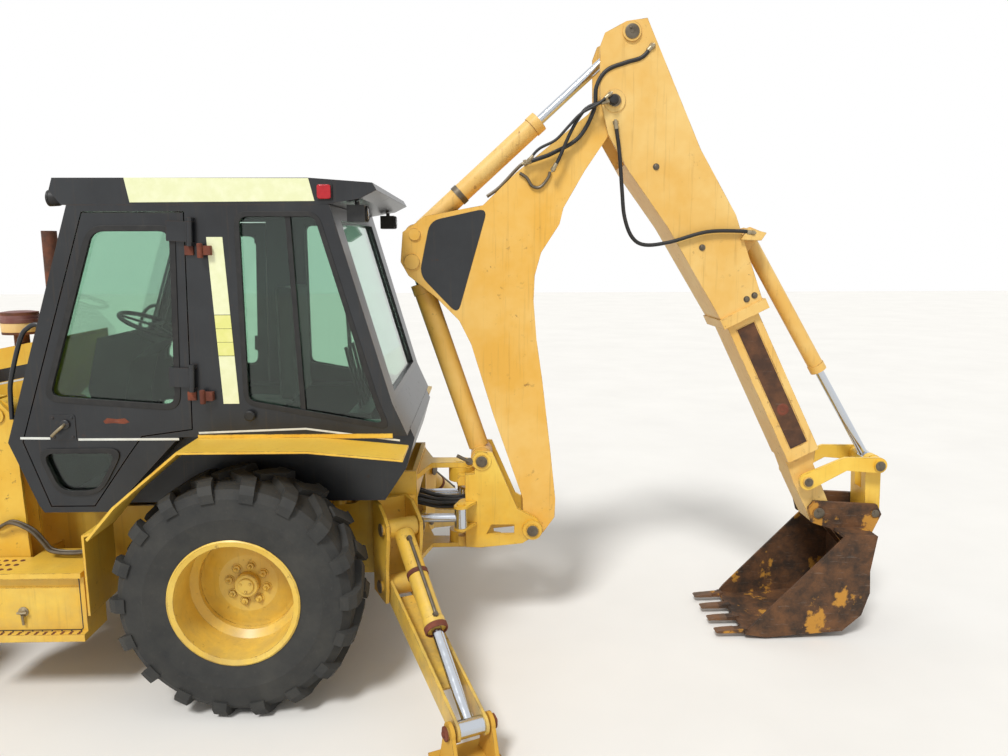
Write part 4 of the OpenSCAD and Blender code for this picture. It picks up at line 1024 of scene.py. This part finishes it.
@dataclass
class DiggingArm:
    """Pins, painted shadow at the boom's knee, pipes, hoses, wear strips and teeth of the digging
    arm.
    """

    boom_side: float = 140.0
    stick_side: float = 170.0
    slider_bed: float = 140.0

    # X, Z, half width at the head, radius and body of each pin
    PINS = [(-1530, 667, 196, 34, Body.SWING), (-1225, 1099, 186, 34, Body.SWING),
            (-1982, 3169, 184, 34, Body.STICK), (-2072, 3535, 182, 40, Body.STICK),
            (-3205, 952, 184, 26, Body.SLIDER), (-3635, 1050, 188, 30, Body.LEVERS),
            (-3298, 742, 140, 34, Body.HOE), (-3648, 737, 140, 24, Body.HOE)]

    def build(self) -> None:
        """Add each part of the arm's dress."""
        self.pins()
        # Painted shadow at the boom's knee.
        self.panel()
        self.pipes()
        self.hoses()
        self.wear()

    def pins(self) -> None:
        """Add a cap and a retaining bolt at both ends of each pin."""
        for body in dict.fromkeys(pin[4] for pin in self.PINS):
            shape = Shape()
            for x, z, y, r, _ in (p for p in self.PINS if p[4] is body):
                for s in (1, -1):
                    shape.lathe((x, s * y, z), (0, s, 0),
                                [(0, r), (4, r), (6, r * 0.85), (6, r * 0.3), (8, r * 0.25)], 28)
                    shape.bolt((x + r * 0.2, s * (y + 5), z + r * 0.45), (0, s, 0), 12)
            shape.piece(f"pin_caps_{body.value}", "pin", body)

    def panel(self) -> None:
        """Add a black sheet on each side of the boom's knee: painted shadow under the lobe plates,
        not black paint.
        """
        # Black sheet where the lobe plates shade the boom: painted shadow.
        outline = [(-938, 2512), (-1270, 2584), (-1092, 1974), (-872, 2206)]
        for s, tag in SIDES:
            Shape(s).prism(rounded(outline, 60), self.boom_side + 0.1, self.boom_side + 2.5).piece(
                f"boom_painted_shadow_{tag}", "black", Body.BOOM, 0.8)

    def pipes(self) -> None:
        """Add the steel pipes, the round fitting, the hose bracket and the lock lever."""
        pipes = Shape().tube([(-1454, 148, 2778), (-1494, 152, 2750), (-1523, 152, 2706),
                              (-1569, 152, 2700), (-1614, 152, 2750), (-1625, 152, 2784)], 9)
        for y in (96, 120):
            pipes.tube([(-1266, y, 2650), (-1341, y, 2704), (-1456, y, 2822), (-1500, y, 2836)], 9)
        pipes.piece("boom_steel_pipes", "pin", Body.BOOM)
        fitting = Shape().lathe((-1971, 191, 3169), SIDEWAYS,
                                [(0, 30), (14, 30), (18, 24), (30, 22), (32, 10)], 28)
        fitting.piece("stick_pivot_fitting", "rubber", Body.STICK)
        bracket = [(-2761, 2468), (-2724, 2400), (-2840, 2396), (-2868, 2440)]
        Shape().prism(bracket, 62, 200).piece("loop_hose_bracket", "stick",
                                             Body.SLIDER, 3)
        lever = Shape().tube([(-1151, 176, 1098), (-1118, 182, 1116), (-1078, 182, 1137)], 11)
        lever.lathe((-1151, 168, 1098), SIDEWAYS, [(0, 22), (12, 22), (14, 16)])
        lever.piece("swing_lock_lever", "pin", Body.SWING)

    def hoses(self) -> None:
        """Add the hoses over the joints of the arm and through the swing post."""
        routes = (
            ("loop_hose", 195, 11, (Body.STICK, Body.SLIDER),
             [(-1987, 3048), (-2012, 2883), (-2031, 2674), (-2048, 2530), (-2093, 2418),
              (-2169, 2373), (-2313, 2389), (-2518, 2445), (-2708, 2450), (-2790, 2440)]),
            ("boom_hose_main", 170, 12, (Body.BOOM, Body.STICK),
             [(-1482, 2831), (-1567, 2858), (-1640, 2886), (-1784, 2969), (-1868, 3121),
              (-1880, 3244), (-1935, 3330), (-2040, 3372), (-2130, 3400), (-2188, 3461)]),
            ("boom_hose_second", 200, 10, (Body.BOOM, Body.STICK),
             [(-1639, 2793), (-1674, 2856), (-1716, 2954), (-1766, 3051), (-1821, 3122),
              (-1890, 3150), (-1940, 3160)]),
            ("boom_hose_thin", 222, 8, (Body.BOOM, Body.STICK),
             [(-1500, 2839), (-1558, 2902), (-1650, 2950), (-1722, 3024), (-1790, 3092),
              (-1880, 3140), (-1950, 3196)]),
        )
        for name, y, r, bodies, route in routes:
            points = [(x, y, z) for x, z in route]
            Hose(name, points, r, bodies).build()
        for i, (y, z) in enumerate(((-96, 862), (-64, 830), (-32, 872), (0, 836), (34, 866),
                                    (66, 828), (98, 858))):
            points = [(-770, y, z), (-836, y, z - 16), (-930, y * 0.8, z - 44),
                      (-1010, y * 0.6, z - 52), (-1100, y * 0.55, z - 50),
                      (-1180, y * 0.7, z - 30), (-1240, y * 0.9, z - 4)]
            Hose(f"swing_hose_{i}", points, 11, (Body.CHASSIS, Body.SWING)).build()

    def wear(self) -> None:
        """Add the rubbed strips, the stick's bolts, the tooth tips and the clamp band."""
        outline = [on_stick(u, v) for u, v in ((1496, 106), (1496, 214), (2304, 214), (2304, 106))]
        for s, tag in SIDES:
            Shape(s).prism(outline, self.slider_bed - FILM, self.slider_bed + 3.4).piece(
                f"rubbed_strip_{tag}", "wear", Body.SLIDER, 0.6)
            x, z = on_stick(2057, 160)
            hole = Shape(s).lathe((x, self.slider_bed + 3, z), SIDEWAYS,
                                 [(0, 38), (1.2, 36), (1.6, 24), (0.6, 18), (0.6, 4)], 28)
            hole.piece(f"rubbed_strip_hole_{tag}", "bush", Body.SLIDER)
            bolts = Shape(s)
            for u, v in ((1348, 222), (1348, 272), (430, 60), (960, 110)):
                x, z = on_stick(u, v)
                bolts.bolt((x, self.stick_side, z), SIDEWAYS, 24)
            bolts.piece(f"stick_bolts_{tag}", "pin", Body.STICK)
        tips = Shape()
        for share in (-0.42, -0.14, 0.14, 0.42):
            y = share * 600
            tips.prism([(-2766, 31.4), (-2766, 54), (-2700, 50), (-2652, 44), (-2646, 37),
                        (-2656, 31.4)], y - 29, y + 29)
        tips.piece("tooth_tips", "edge", Body.HOE, 3)
        axis = Vector((-2072 + 848, 0, 3535 - 2436)).normalized()
        band = Shape().lathe(Vector((-848, 0, 2436)) + axis * 330, axis,
                             [(0, 54), (0, 61), (34, 61), (34, 54)], 36, True)
        band.piece("stick_barrel_band", "pin", Body.STICK_BARREL)


@dataclass
class Stabilizers:
    """Pin heads, bushes, glands and pipes of the stabilizers."""

    hip: tuple[float, float] = (-765.0, 550.0)
    rake: tuple[float, float] = (0.4067, 0.9135)
    slope: tuple[float, float] = (0.8275, 0.5618)
    pin_end: float = 116.0

    def build(self) -> None:
        """Add the dress of the left and right stabilizer."""
        for s, tag in SIDES:
            self.side(s, tag)

    def place(self, u: float, v: float, w: float) -> Vector:
        """Return a point of the left leg's own plane: out, back and up, in mm."""
        a, b = self.rake
        return Vector((self.hip[0] - a * u - b * v, self.hip[1] + b * u - a * v, w))

    def side(self, s: int, tag: str) -> None:
        """Add pin heads, bushings, gland and pipe of one stabilizer."""
        back = self.place(0, 1, 0) - self.place(0, 0, 0)
        heads = Shape(s)
        for u, w in ((0, 500), (50, 845)):
            for k in (1, -1):
                heads.lathe(self.place(u, k * self.pin_end, w), back * k,
                            [(0, 36), (6, 36), (9, 30), (9, 5)], 28)
        heads.piece(f"clevis_pin_heads_{tag}", "pin")
        bushes = Shape(s)
        for k in (1, -1):
            bushes.lathe(self.place(1000, k * self.pin_end, 200), back * k,
                         [(0, 34), (8, 34), (11, 27), (11, 14), (18, 13), (20, 8)], 28)
        bushes.piece(f"pad_pin_bushes_{tag}", "bush", f"leg_{tag}")
        run, fall = self.slope
        out = self.place(run, 0, -fall) - self.place(0, 0, 0)
        base = self.place(50, 0, 845)
        gland = Shape(s).lathe(base + out * 622, out, [(0, 51), (0, 60), (24, 60), (30, 56),
                                                      (30, 51)], 32, True)
        gland.lathe(base + out * 300, out, [(0, 51), (0, 57), (26, 57), (26, 51)], 32, True)
        gland.piece(f"leg_barrel_gland_{tag}", "bush", f"leg_barrel_{tag}")
        above = self.place(fall, 0, run) - self.place(0, 0, 0)
        pipe = Shape(s).tube([base + out * t + above * h for t, h in
                             ((120, 62), (200, 64), (400, 64), (560, 64), (600, 56))], 9)
        for t in (120, 590):
            pipe.lathe(base + out * t + above * 48, above, [(0, 16), (14, 16), (22, 12)], 6)
        pipe.piece(f"leg_barrel_pipe_{tag}", "pin", f"leg_barrel_{tag}")


def main() -> None:
    """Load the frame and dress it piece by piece."""
    logging.basicConfig(level=logging.WARNING)
    for obj in list(bpy.data.objects):
        bpy.data.objects.remove(obj)
    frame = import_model()
    bpy.context.scene.view_settings.view_transform = "Standard"
    Studio().build()
    dress_nodes(frame["nodes"])
    for assembly in (DiggingArm(), Stabilizers(), Cab(), Chassis(frame["nodes"]), Loader()):
        assembly.build()


if __name__ == "__main__":
    main()
